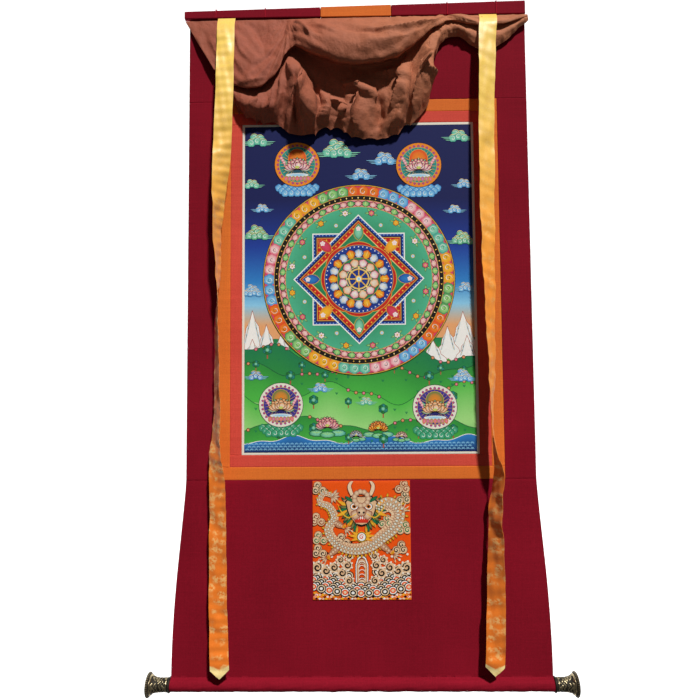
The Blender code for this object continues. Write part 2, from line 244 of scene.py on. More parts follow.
@dataclass(frozen=True)
class WovenCloth:
    """A woven cloth dyed in one colour, with uneven threads."""

    name: str
    colour: Colour
    dark: Colour
    pitch: float = 0.0011
    rib: float = 0.0
    roughness: float = 0.85
    relief: float = 0.00022
    sheen: float = 0.03
    streaks: float = 0.6

    def material(self) -> bpy.types.Material:
        """The cloth's material.

        Returns:
            It, ready to be put on.
        """
        paint = Paint(self.name)
        along = paint.noise((14.0, 14.0, 620.0), 3.0)
        down = paint.noise((620.0, 14.0, 14.0), 3.0)
        threads = paint.weave(self.pitch, self.rib)
        blotches = (paint.noise(7.0) - 0.5) * 0.35 + (paint.noise(380.0) - 0.5) * 0.45
        uneven = ((along + down) * 0.5 - 0.5) * self.streaks + blotches
        share = (0.42 - uneven * 1.6 - threads * 0.18).limit()
        paint.bump(threads + (along + down) * 0.35, self.relief)
        return paint.coat(
            base_color=paint.blend(share, self.colour, self.dark),
            roughness=self.roughness - threads * 0.08,
            sheen_weight=self.sheen,
            sheen_roughness=0.5,
            sheen_tint=self.colour,
            specular_ior_level=0.08,
        )


@dataclass(frozen=True)
class VeilSilk:
    """Thin brown silk, crinkled all over and only faintly shiny."""

    name: str = "veil_silk"
    colour: Colour = (0.500, 0.180, 0.086)
    dark: Colour = (0.250, 0.080, 0.042)
    violet: Colour = (0.290, 0.058, 0.040)

    def material(self) -> bpy.types.Material:
        """The silk's material, redder towards its left.

        Returns:
            It, ready to be put on.
        """
        paint = Paint(self.name)
        slubs = paint.noise((30.0, 30.0, 700.0), 3.0)
        cloudy = paint.noise(16.0, 3.0)
        crinkle = paint.noise((90.0, 90.0, 60.0), 3.0, 0.6)
        leftward = (0.5 - paint.axes()[0] * 3.0).limit() * 0.7
        base = paint.blend(leftward, self.colour, self.violet)
        share = ((slubs - 0.5) * 0.9 + (cloudy - 0.5) * 0.5 + (crinkle - 0.5) * 0.8 + 0.14).limit()
        paint.bump(paint.weave(0.0008) * 0.1 + slubs * 0.15 + crinkle * 1.6, 0.0016)
        return paint.coat(
            base_color=paint.blend(share, base, self.dark),
            roughness=0.58 + (slubs - 0.5) * 0.3,
            sheen_weight=0.02,
            specular_ior_level=0.15,
        )


@dataclass(frozen=True)
class RibbonSatin:
    """Gold damask satin: its colour, which carries painted sheen and shade, comes with the mesh;
    its woven flowers come from here.
    """

    name: str = "ribbon_satin"
    bloom_scale: float = 62.0

    def material(self) -> bpy.types.Material:
        """The satin's material.

        Returns:
            It, ready to be put on.
        """
        paint = Paint(self.name)
        flat = paint.times(paint.place, (1.0, 0.0, 1.0))
        cells = {"Vector": flat, "Scale": self.bloom_scale, "Randomness": 0.55}
        bloom = paint.node("ShaderNodeTexVoronoi", {"feature": "SMOOTH_F1"}, cells, "Distance")
        curls = paint.noise(190.0, 2.0, 0.6, flat)
        motif = ((0.44 - bloom) * 7.0).limit() * ((curls - 0.42) * 9.0).limit()
        motif = motif * paint.attribute("damask", "Fac")
        grain = paint.noise((900.0, 60.0, 60.0))
        cloudy = paint.noise(34.0, 3.0)
        speck = paint.noise(330.0, 2.0, 0.7, flat)
        lit = paint.blend(motif * 0.6, paint.attribute("dye"), (1.0, 0.66, 0.24))
        deep = paint.times(lit, (0.78, 0.60, 0.38))
        shade = ((cloudy - 0.5) * 0.9 + (grain - 0.5) * 0.35 + (speck - 0.5) * 1.1 + 0.08).limit()
        paint.bump(motif * 0.15 + grain * 0.25 + cloudy * 1.2, 0.0004)
        return paint.coat(
            base_color=paint.blend(shade, lit, deep),
            roughness=0.46 - motif * 0.12,
            sheen_weight=0.15,
            specular_ior_level=0.55,
        )


@dataclass(frozen=True)
class PaintedCanvas:
    """Mineral paint and dull gold on primed canvas."""

    name: str = "painted_canvas"
    pitch: float = 0.0009

    def material(self) -> bpy.types.Material:
        """The painted surface's material.

        Returns:
            It, ready to be put on.
        """
        paint = Paint(self.name)
        colours, gold = paint.attribute("paint"), paint.attribute("gold", "Fac")
        threads = paint.weave(self.pitch)
        brush = paint.noise(260.0, 3.0)
        worn = ((brush - 0.5) * 0.45 + threads * 0.16 - 0.02).limit()
        paint.bump(threads + brush * 0.8 + gold * 0.5, 0.00016)
        return paint.coat(
            base_color=paint.blend(worn, colours, paint.times(colours, (0.55, 0.55, 0.60))),
            roughness=0.68 - gold * 0.22,
            metallic=gold * 0.55,
            specular_ior_level=0.18,
        )


@dataclass(frozen=True)
class BrocadeCloth:
    """Silk brocade, its raised threads coloured with the mesh."""

    name: str = "brocade"

    def material(self) -> bpy.types.Material:
        """The brocade's material.

        Returns:
            It, ready to be put on.
        """
        paint = Paint(self.name)
        colours, gold = paint.attribute("paint"), paint.attribute("gold", "Fac")
        across, _, up = paint.axes()
        slant = ((across + up * 0.6) * (math.tau / 0.0013)).sine() * 0.5 + 0.5
        floats = paint.noise((900.0, 100.0, 160.0))
        speck = paint.noise(520.0)
        share = (0.30 * slant + (floats - 0.5) * 0.5 + (speck - 0.5) * 0.9).limit()
        paint.bump(slant * (0.3 + gold * 0.7) + floats * 0.6, 0.0003)
        return paint.coat(
            base_color=paint.blend(share, colours, paint.times(colours, (0.58, 0.44, 0.36))),
            roughness=0.55 - gold * 0.12,
            metallic=gold * 0.15,
            specular_ior_level=0.2,
        )


@dataclass(frozen=True)
class AntiqueBrass:
    """Cast brass, dark in its hollows and rubbed bright on its ridges."""

    name: str = "cap_metal"
    bright: Colour = (0.46, 0.37, 0.21)
    patina: Colour = (0.022, 0.017, 0.010)

    def material(self) -> bpy.types.Material:
        """The metal's material.

        Returns:
            It, ready to be put on.
        """
        paint = Paint(self.name)
        grime = paint.noise(420.0, 3.0)
        rubbed = (paint.attribute("ridge", "Fac") - 0.50) * 2.8 + (grime - 0.5) * 0.8
        rubbed = rubbed.limit()
        paint.bump(grime, 0.0002)
        return paint.coat(
            base_color=paint.blend(rubbed, self.patina, self.bright),
            metallic=0.55 + rubbed * 0.45,
            roughness=0.62 - rubbed * 0.34,
        )


@dataclass(frozen=True)
class SewingThread:
    """A twisted thread."""

    name: str
    colour: Colour

    def material(self) -> bpy.types.Material:
        """The thread's material.

        Returns:
            It, ready to be put on.
        """
        paint = Paint(self.name)
        across, out, up = paint.axes()
        twist = ((across + out + up) * (math.tau / 0.0011)).sine() * 0.5 + 0.5
        dark = tuple(part * 0.45 for part in self.colour)
        paint.bump(twist, 0.0002)
        return paint.coat(
            base_color=paint.blend(twist * 0.6, self.colour, dark),
            roughness=0.8,
            specular_ior_level=0.1,
        )


@dataclass(frozen=True)
class TurnedWood:
    """Plain wood with its grain along the rod."""

    name: str = "rod_wood"

    def material(self) -> bpy.types.Material:
        """The wood's material.

        Returns:
            It, ready to be put on.
        """
        paint = Paint(self.name)
        grain = paint.noise((9.0, 260.0, 260.0), 4.0)
        paint.bump(grain, 0.0003)
        colour = paint.blend(grain, (0.42, 0.24, 0.12), (0.18, 0.085, 0.04))
        return paint.coat(base_color=colour, roughness=0.5 + grain * 0.2)


@dataclass(frozen=True)
class PaleGround:
    """The studio's plain floor."""

    name: str = "pale_ground"

    def material(self) -> bpy.types.Material:
        """The floor's material.

        Returns:
            It, ready to be put on.
        """
        paint = Paint(self.name)
        colour = paint.blend(paint.noise(0.6) * 0.3, (0.93, 0.93, 0.93), (0.90, 0.90, 0.90))
        return paint.coat(base_color=colour, roughness=0.9)


class Finish(Enum):
    """The object's finishes by the record's slots, and the studio's floor."""

    MAROON = WovenCloth("maroon_cloth", (0.275, 0.0060, 0.0190), (0.135, 0.0025, 0.0085))
    ORANGE = WovenCloth(
        "orange_cloth", (0.80, 0.190, 0.028), (0.53, 0.096, 0.016), 0.0016, 0.7, 0.7, 0.0002, 0.03
    )
    RED = WovenCloth(
        "red_cloth", (0.72, 0.088, 0.056), (0.46, 0.033, 0.023), 0.0016, 0.7, 0.7, 0.0002, 0.03
    )
    CANVAS = PaintedCanvas()
    BROCADE = BrocadeCloth()
    VEIL = VeilSilk()
    RIBBON = RibbonSatin()
    THREAD = SewingThread("tie_thread", (0.62, 0.012, 0.035))
    WOOD = TurnedWood()
    BRASS = AntiqueBrass()
    GROUND = PaleGround()

    @cache
    def material(self) -> bpy.types.Material:
        """The finish's material, made once."""
        return self.value.material()


# ------------------------------------------------------------------ mesh helpers


def smooth_along(table: Grid, steps: int) -> Grid:
    """A table's rows with smooth rows put in between.

    Args:
        table: The rows, each a number or an array.
        steps: How many new rows each row becomes.

    Returns:
        The finer table, which ends on the last row.
    """
    wide = np.concatenate([table[:1], table, table[-1:]])
    share = np.arange(steps) / steps
    ease = share * share * (3 - 2 * share)
    leave = share * (1 - share) ** 2
    arrive = share * share * (1 - share)
    made = []
    for before, here, after, beyond in zip(wide, wide[1:], wide[2:], wide[3:]):
        rows = here + np.multiply.outer(ease, after - here)
        rows += np.multiply.outer(leave, (after - before) / 2)
        rows -= np.multiply.outer(arrive, (beyond - here) / 2)
        made.append(rows)
    return np.concatenate([*made, table[-1:]])


def ripple(values: Grid, length: float, seed: int) -> Grid:
    """An uneven wave that never repeats.

    Args:
        values: Where it is read, in metres.
        length: Its usual wavelength.
        seed: Which wave.

    Returns:
        Its height, mostly from -1 to 1.
    """
    dice = np.random.default_rng(seed)
    total = np.zeros_like(values, dtype=float)
    for _ in range(5):
        pitch = length * dice.uniform(0.6, 1.9)
        total += np.sin(values * (math.tau / pitch) + dice.uniform(0, math.tau))
    return total / 2.4


def lumps(first: Grid, second: Grid, length: float, seed: int) -> Grid:
    """An uneven surface that never repeats.

    Args:
        first: Where it is read, in metres.
        second: Where it is read along the other way.
        length: The usual distance between lumps.
        seed: Which surface.

    Returns:
        Its height, mostly from -1 to 1.
    """
    dice = np.random.default_rng(seed)
    total = np.zeros(np.broadcast(first, second).shape)
    for _ in range(9):
        pitch = length * dice.uniform(0.55, 1.8)
        turn = dice.uniform(0, math.tau)
        line = first * math.cos(turn) + second * math.sin(turn)
        total += np.sin(line * (math.tau / pitch) + dice.uniform(0, math.tau))
    return total / 3.4


def step_up(values: Grid, low: float, high: float) -> Grid:
    """Rises smoothly from 0 to 1 between two values."""
    share = np.clip((values - low) / (high - low), 0.0, 1.0)
    return share * share * (3 - 2 * share)


def to_world(grid: Grid) -> Grid:
    """Points as (x, out, drop), on the last axis, in world places."""
    return grid * np.array((1.0, -1.0, -1.0))


def facing(grid: Grid) -> Grid:
    """The unit normals of a grid of world points, towards the viewer where it hangs flat."""
    normal = np.cross(np.gradient(grid, axis=0), np.gradient(grid, axis=1))
    return normal / np.maximum(np.linalg.norm(normal, axis=-1, keepdims=True), 1e-12)


def add_piece(
    name: str,
    points: Grid,
    faces: Sequence[Grid],
    finish: Finish,
    layers: dict[str, Grid] | None = None,
    sharp: float = 60.0,
) -> bpy.types.Object:
    """Adds a mesh that rides on the object.

    Args:
        name: The piece's name.
        points: World points.
        faces: Arrays of faces, one row a face.
        finish: Its finish.
        layers: Values or colours at the points, by attribute name.
        sharp: Edges that turn by more degrees than this aren't shaded smooth.

    Returns:
        The object.
    """
    mesh = bpy.data.meshes.new(name)
    corners = np.concatenate([block.ravel() for block in faces]).astype(np.int32)
    sizes = np.concatenate([np.full(len(block), block.shape[1]) for block in faces])
    starts = np.concatenate([[0], np.cumsum(sizes)[:-1]]).astype(np.int32)
    mesh.vertices.add(len(points))
    mesh.vertices.foreach_set("co", np.asarray(points, np.float32).ravel())
    mesh.loops.add(len(corners))
    mesh.loops.foreach_set("vertex_index", corners)
    mesh.polygons.add(len(starts))
    mesh.polygons.foreach_set("loop_start", starts)
    mesh.update(calc_edges=True)
    for key, values in (layers or {}).items():
        if values.ndim == 1:
            made = mesh.attributes.new(key, "FLOAT", "POINT")
            made.data.foreach_set("value", values.astype(np.float32))
        else:
            made = mesh.attributes.new(key, "FLOAT_COLOR", "POINT")
            solid = np.concatenate([values, np.ones((len(values), 1))], axis=1)
            made.data.foreach_set("color", solid.astype(np.float32).ravel())
    mesh.shade_smooth()
    mesh.set_sharp_from_angle(angle=math.radians(sharp))
    mesh.validate()
    mesh.materials.append(finish.material())
    piece = bpy.data.objects.new(name, mesh)
    bpy.context.scene.collection.objects.link(piece)
    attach(piece, "root")
    LOG.info("%s: %d points, %d faces", name, len(points), len(starts))
    return piece


def rim_of(rows: int, columns: int) -> Grid:
    """The places of a grid's rim points, clockwise from its first.

    Args:
        rows: How many rows it has.
        columns: How many columns.

    Returns:
        Their numbers.
    """
    number = np.arange(rows * columns).reshape(rows, columns)
    sides = (number[0, :-1], number[:-1, -1], number[-1, :0:-1], number[:0:-1, 0])
    return np.concatenate(sides)


def add_sheet(
    name: str,
    front: Grid,
    back: Grid,
    finish: Finish,
    layers: dict[str, tuple[Grid, Grid]] | None = None,
    plain_back: bool = False,
) -> bpy.types.Object:
    """Adds a closed sheet of cloth from its two faces.

    Args:
        name: The piece's name.
        front: World points of the front, rows down and columns to the right.
        back: World points of the back, on the same grid.
        finish: Its finish.
        layers: The front's and the back's values or colours, by attribute name.
        plain_back: Whether the back is one flat face.

    Returns:
        The object.
    """
    rows, columns = front.shape[:2]
    number = np.arange(rows * columns).reshape(rows, columns)
    a, b, c, d = number[:-1, :-1], number[1:, :-1], number[1:, 1:], number[:-1, 1:]
    faces = [np.stack([a, b, c, d], axis=-1).reshape(-1, 4)]
    rim = rim_of(rows, columns)
    count = rows * columns
    flat_front = front.reshape(-1, 3)
    flat_back = back.reshape(-1, 3)
    values = {
        key: [side.reshape(count, -1).squeeze() for side in sides]
        for key, sides in (layers or {}).items()
    }
    if plain_back:
        behind = count + np.arange(len(rim))
        faces.append(behind[None, :])
        points = np.concatenate([flat_front, flat_back[rim]])
        attributes = {key: np.concatenate([one, two[rim]]) for key, (one, two) in values.items()}
    else:
        behind = rim + count
        faces.append(np.stack([a, d, c, b], axis=-1).reshape(-1, 4) + count)
        points = np.concatenate([flat_front, flat_back])
        attributes = {key: np.concatenate([one, two]) for key, (one, two) in values.items()}
    edge = np.stack([rim, np.roll(rim, -1), np.roll(behind, -1), behind], axis=-1)
    faces.append(edge)
    return add_piece(name, points, faces, finish, attributes)


# ------------------------------------------------------------------ the mount's flat cloth

GAP = 0.00004
CLOTH = 0.0016
PAINTING_HALF = 0.225
PAINTING_TOP = 0.2355
PAINTING_BOTTOM = 0.8765
RED_WIDTH = 0.0225
ORANGE_WIDTH = 0.024
BORDER_HALF = PAINTING_HALF + RED_WIDTH + ORANGE_WIDTH
BORDER_TOP = PAINTING_TOP - RED_WIDTH - ORANGE_WIDTH
BORDER_BOTTOM = PAINTING_BOTTOM + RED_WIDTH + ORANGE_WIDTH
HEADING_DROP = 0.0215
ROLLER_DROP = 1.2975
ROLLER_CENTRE = -0.002
STITCH_DROP = 1.2845


@dataclass(frozen=True)
class CutPiece:
    """A flat piece with softly turned edges, puckered a little along its seams."""

    name: str
    left: float
    right: float
    top: float
    bottom: float
    finish: Finish
    thickness: float = CLOTH
    pitch: float = 0.0042
    turned: float = 0.0011
    pucker: float = 0.00022
    seed: int = 1

    def stations(self, low: float, high: float) -> Grid:
        """Where the grid's lines are, closer together at the edges.

        Args:
            low: One edge.
            high: The other.

        Returns:
            The places.
        """
        near = np.array((0.0, 0.3, 1.0, 2.2)) * self.turned
        count = max(2, round((high - low) / self.pitch))
        inner = np.linspace(low + near[-1], high - near[-1], count + 1)[1:-1]
        return np.concatenate([low + near, inner, high - near[::-1]])

    def faces(self) -> tuple[Grid, Grid]:
        """The front and the back.

        Returns:
            Two grids of world points.
        """
        across = self.stations(self.left, self.right)
        down = self.stations(self.top, self.bottom)
        x, drop = np.meshgrid(across, down)
        sides = np.minimum(x - self.left, self.right - x)
        ends = np.minimum(drop - self.top, self.bottom - drop)
        out = np.zeros_like(x)
        for near in (sides, ends):
            out -= 0.00055 * np.clip(1 - near / self.turned, 0, 1) ** 2
        seams = np.exp(-sides / 0.008) * ripple(drop, 0.011, self.seed)
        seams += np.exp(-ends / 0.008) * ripple(x, 0.011, self.seed + 1)
        out += self.pucker * (seams + 0.8 * lumps(x, drop, 0.07, self.seed + 2))
        front = to_world(np.stack([x, out, drop], axis=-1))
        back = front.copy()
        back[..., 1] = self.thickness
        return front, back

    def build(self) -> bpy.types.Object:
        """Adds the piece, a sheet that hangs in the mount.

        Returns:
            The piece.
        """
        front, back = self.faces()
        piece = add_sheet(self.name, front, back, self.finish, plain_back=True)
        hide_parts(self.name)
        flat = (self.right - self.left, self.bottom - self.top)
        return piece


@dataclass
class MountCloth:
    """The maroon cloth: its head, its two sides and its loose foot round the rod."""

    half: float = 0.330
    flare: float = 0.023
    wave: float = 0.0026
    sleeve_half: float = 0.353
    sleeve_radius: float = 0.0121
    columns: int = 190
    rows: int = 96
    sleeve_rows: int = 44

    def build(self) -> None:
        """Adds the cloth and the stitches above the rod."""
        inner = BORDER_HALF + GAP
        maroon = Finish.MAROON
        head = HEADING_DROP + GAP
        CutPiece("top_panel", -self.half, self.half, head, BORDER_TOP - GAP, maroon, seed=3).build()
        top, bottom = BORDER_TOP, BORDER_BOTTOM
        CutPiece("left_panel", -self.half, -inner, top, bottom, maroon, seed=7).build()
        CutPiece("right_panel", inner, self.half, top, bottom, maroon, seed=12).build()
        self.foot()
        self.stitches()

    def opening(self, drop: Grid) -> Grid:
        """How much the foot has widened, from 0 at the border to 1 at the rod."""
        share = np.clip((drop - BORDER_BOTTOM) / (STITCH_DROP - BORDER_BOTTOM), 0, 1)
        return np.sin(share * math.pi / 2) ** 1.25

    def flute(self, x: Grid, drop: Grid) -> Grid:
        """How far the loose foot waves towards the viewer.

        Args:
            x: Where it is read.
            drop: How far down.

        Returns:
            The distance.
        """
        share = np.clip((drop - BORDER_BOTTOM) / (STITCH_DROP - BORDER_BOTTOM), 0, 1)
        broad = 0.7 * np.cos(math.tau * (x - 0.03) / 0.28)
        narrow = 0.3 * np.sin(math.tau * x / 0.17)
        loose = 0.10 + 0.90 * step_up(np.abs(x), 0.085, 0.20)
        return self.wave * np.sin(share * math.pi) * (0.4 + loose * (broad + narrow))

    def foot(self) -> None:
        """The cloth below the border, with its hem wrapped once round the rod."""
        middle = self.sleeve_radius - CLOTH / 2
        down = np.linspace(BORDER_BOTTOM + GAP, STITCH_DROP, self.rows + 1)
        turn = np.radians(np.linspace(14, 347, self.sleeve_rows + 1))
        out = np.concatenate([np.full_like(down, -CLOTH / 2), middle * np.sin(turn)])
        drop = np.concatenate([down, ROLLER_DROP - middle * np.cos(turn)])
        share = np.linspace(-1, 1, self.columns + 1)
        share = np.sign(share) * (1 - (1 - np.abs(share)) ** 1.15)
        hanging = np.arange(len(drop)) <= self.rows
        widened = np.where(hanging, self.opening(drop), 1.0)
        half = np.where(hanging, self.half + self.flare * widened, self.sleeve_half)
        x = ROLLER_CENTRE * widened[:, None] + half[:, None] * share[None, :]
        drops = np.repeat(drop[:, None], x.shape[1], axis=1)
        outs = np.repeat(out[:, None], x.shape[1], axis=1)
        loose = hanging[:, None] * np.ones_like(x)
        near_top = np.exp(-(drops - BORDER_BOTTOM) / 0.010)
        near_stitch = np.exp(-np.abs(drops - STITCH_DROP) / 0.009)
        crumple = 0.35 * lumps(x, drops * 0.35, 0.05, 21) + 0.25 * lumps(x, drops, 0.10, 22)
        fine = near_top * ripple(x, 0.011, 24) * 0.5 + near_stitch * ripple(x, 0.010, 25)
        outs += loose * (self.flute(x, drops) + 0.0007 * crumple + 0.00035 * fine)
        around = np.where(hanging, 0.0, 1.0)[:, None]
        slack = lumps(x, drops * 2.5, 0.03, 27) - 0.6 + ripple(x, 0.012, 28) * 0.5
        slack = around * 0.00035 * slack
        centre = to_world(np.stack([x, outs, drops], axis=-1))
        normal = facing(centre)
        front = centre + normal * (CLOTH / 2 + slack[..., None])
        back = centre - normal * CLOTH / 2
        front[0, :, 1] += 0.0005
        piece = add_sheet("bottom_panel", front, back, Finish.MAROON)
        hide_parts("bottom_panel")
        width = 2 * (self.half + self.flare)

    def stitches(self) -> None:
        """A row of running stitches that closes the sleeve above the rod."""
        places = np.arange(-self.sleeve_half + 0.006, self.sleeve_half - 0.004, 0.0052)
        dice = np.random.default_rng(5)
        sides = 6
        turn = np.linspace(0, math.tau, sides, endpoint=False)
        along = np.array((-1.0, -0.8, 0.0, 0.8, 1.0))
        bulge = np.array((0.25, 0.8, 1.0, 0.8, 0.25))
        points, faces = [], []
        for place in places:
            x = ROLLER_CENTRE + place + along * 0.0016
            drop = STITCH_DROP - 0.0008 + dice.normal(0, 0.00012)
            out = self.flute(x, np.full_like(x, drop)) + 0.00015
            ring = np.stack([np.zeros(sides), np.cos(turn), np.sin(turn)], axis=-1) * 0.00034
            first = len(points)
            for k in range(len(along)):
                points.extend(np.array((x[k], -out[k], -drop)) + ring * bulge[k])
            for k, m in product(range(len(along) - 1), range(sides)):
                a, b = first + sides * k + m, first + sides * k + (m + 1) % sides
                faces.append((a, a + sides, b + sides, b))
        add_piece("sleeve_stitches", np.array(points), [np.array(faces)], Finish.MAROON)


@dataclass
class Border:
    """Four strips of one cloth round an opening."""

    name: str
    half: float
    top: float
    bottom: float
    width: float
    finish: Finish

    def build(self) -> None:
        """Adds the strips: the long ones above and below, and the sides between them."""
        outer = self.half + self.width
        seam = GAP / 2
        upper, lower = self.top + seam, self.bottom - seam
        ends = (
            ("top", -outer, outer, self.top - self.width, self.top - seam),
            ("bottom", -outer, outer, self.bottom + seam, self.bottom + self.width),
            ("left", -outer, -self.half, upper, lower), ("right", self.half, outer, upper, lower),
        )
        for number, (side, *edges) in enumerate(ends):
            name = f"{self.name}_{side}"
            CutPiece(name, *edges, self.finish, pitch=0.0034, seed=31 + 5 * number).build()


# ------------------------------------------------------------------ drawing


class Ink(Enum):
    """Mineral colours and silks, by their six-digit codes."""

    CREAM = "E9E2CF"
    WHITE = "F4F2EA"
    BLACK = "17110F"
    GOLD = "D9A83C"
    PALE_GOLD = "F0D68A"
    NAVY = "151C52"
    ROYAL = "1C3C96"
    AZURE = "2F7FC4"
    SKY = "8CCBE8"
    TEAL = "2E9B8B"
    MINT = "8ED9B4"
    EMERALD = "1F7D4C"
    FIELD = "4FB48A"
    LEAF = "2F8F3A"
    GRASS = "4FBB45"
    LIME = "A5DE83"
    PINE = "174A35"
    RED = "C3201D"
    SCARLET = "E5401F"
    ORANGE = "EE8A24"
    YELLOW = "F5BE2E"
    PINK = "EE8C9C"
    ROSE = "D8476A"
    BLUSH = "F8D3CF"
    VIOLET = "4A3C97"
    ROCK = "B0553F"
    PEACH = "E9A66E"
    GROUND = "F2560A"
    IVORY = "EFD2AC"
    SAND = "E0B285"
    OLIVE = "8A8A4E"
    SHADE = "8E3A1C"

    @cached_property
    def colour(self) -> Grid:
        """The colour in linear light."""
        parts = np.array([int(self.value[k : k + 2], 16) for k in (0, 2, 4)]) / 255
        return np.where(parts <= 0.04045, parts / 12.92, ((parts + 0.055) / 1.055) ** 2.4)


Points = np.ndarray


def disc(centre: complex, radius: float, count: int = 20, squash: float = 1.0) -> Points:
    """A round outline of so many points, with its height over its width."""
    turn = np.arange(count) * (math.tau / count)
    return centre + radius * (np.cos(turn) + 1j * squash * np.sin(turn))


def lobed(centre: complex, radius: float, lobes: int, depth: float, count: int = 8) -> Points:
    """A round outline with rounded lobes.

    Args:
        centre: Its middle.
        radius: The lobes' reach.
        lobes: How many.
        depth: How deep the notches are, as a share of the radius.
        count: Points for each lobe.

    Returns:
        The outline.
    """
    turn = np.arange(lobes * count) * (math.tau / (lobes * count))
    reach = radius * (1 - depth * (1 - np.abs(np.cos(turn * lobes / 2)) ** 0.7))
    return centre + reach * np.exp(1j * (turn + math.pi / 2))


def petal(base: complex, tip: complex, width: float, belly: float = 0.6, count: int = 8) -> Points:
    """A petal's outline, pointed at its tip.

    Args:
        base: Where it starts.
        tip: Where it ends.
        width: Its greatest width.
        belly: How far along it is widest.
        count: Points along each side.

    Returns:
        The outline.
    """
    share = np.linspace(0, 1, count + 1)
    bend = share ** (math.log(0.5) / math.log(belly))
    half = np.sin(bend * math.pi) ** 0.8 * width / 2
    half[-1] = 0.0
    run = tip - base
    side = 1j * run / abs(run)
    left = base + share * run + half * side
    right = base + share * run - half * side
    return np.concatenate([right, left[-2:0:-1]])


def ring_places(centre: complex, radius: float, count: int, start: float = 0.0) -> Points:
    """Evenly spaced places round a circle, the first one's angle given in turns."""
    return centre + radius * np.exp(1j * math.tau * (start + np.arange(count) / count))


def curl(centre: complex, radius: float, turns: float, start: float, count: int = 14) -> Points:
    """A spiral line that winds inwards by so many turns, from an angle in turns."""
    share = np.linspace(0, 1, count)
    return centre + radius * (1 - 0.82 * share) * np.exp(1j * math.tau * (start + turns * share))


def ladder(count: int, closed: bool = False) -> Grid:
    """Triangles between two lines of points, the second numbered on from the first.

    Args:
        count: How many points each line has.
        closed: Whether the lines run on from their ends to their starts.

    Returns:
        The triangles.
    """
    number = np.arange(count if closed else count - 1)
    after = (number + 1) % count
    quads = np.stack([number, number + count, after + count, after], axis=-1)
    return np.concatenate([quads[:, :3], quads[:, [0, 2, 3]]])


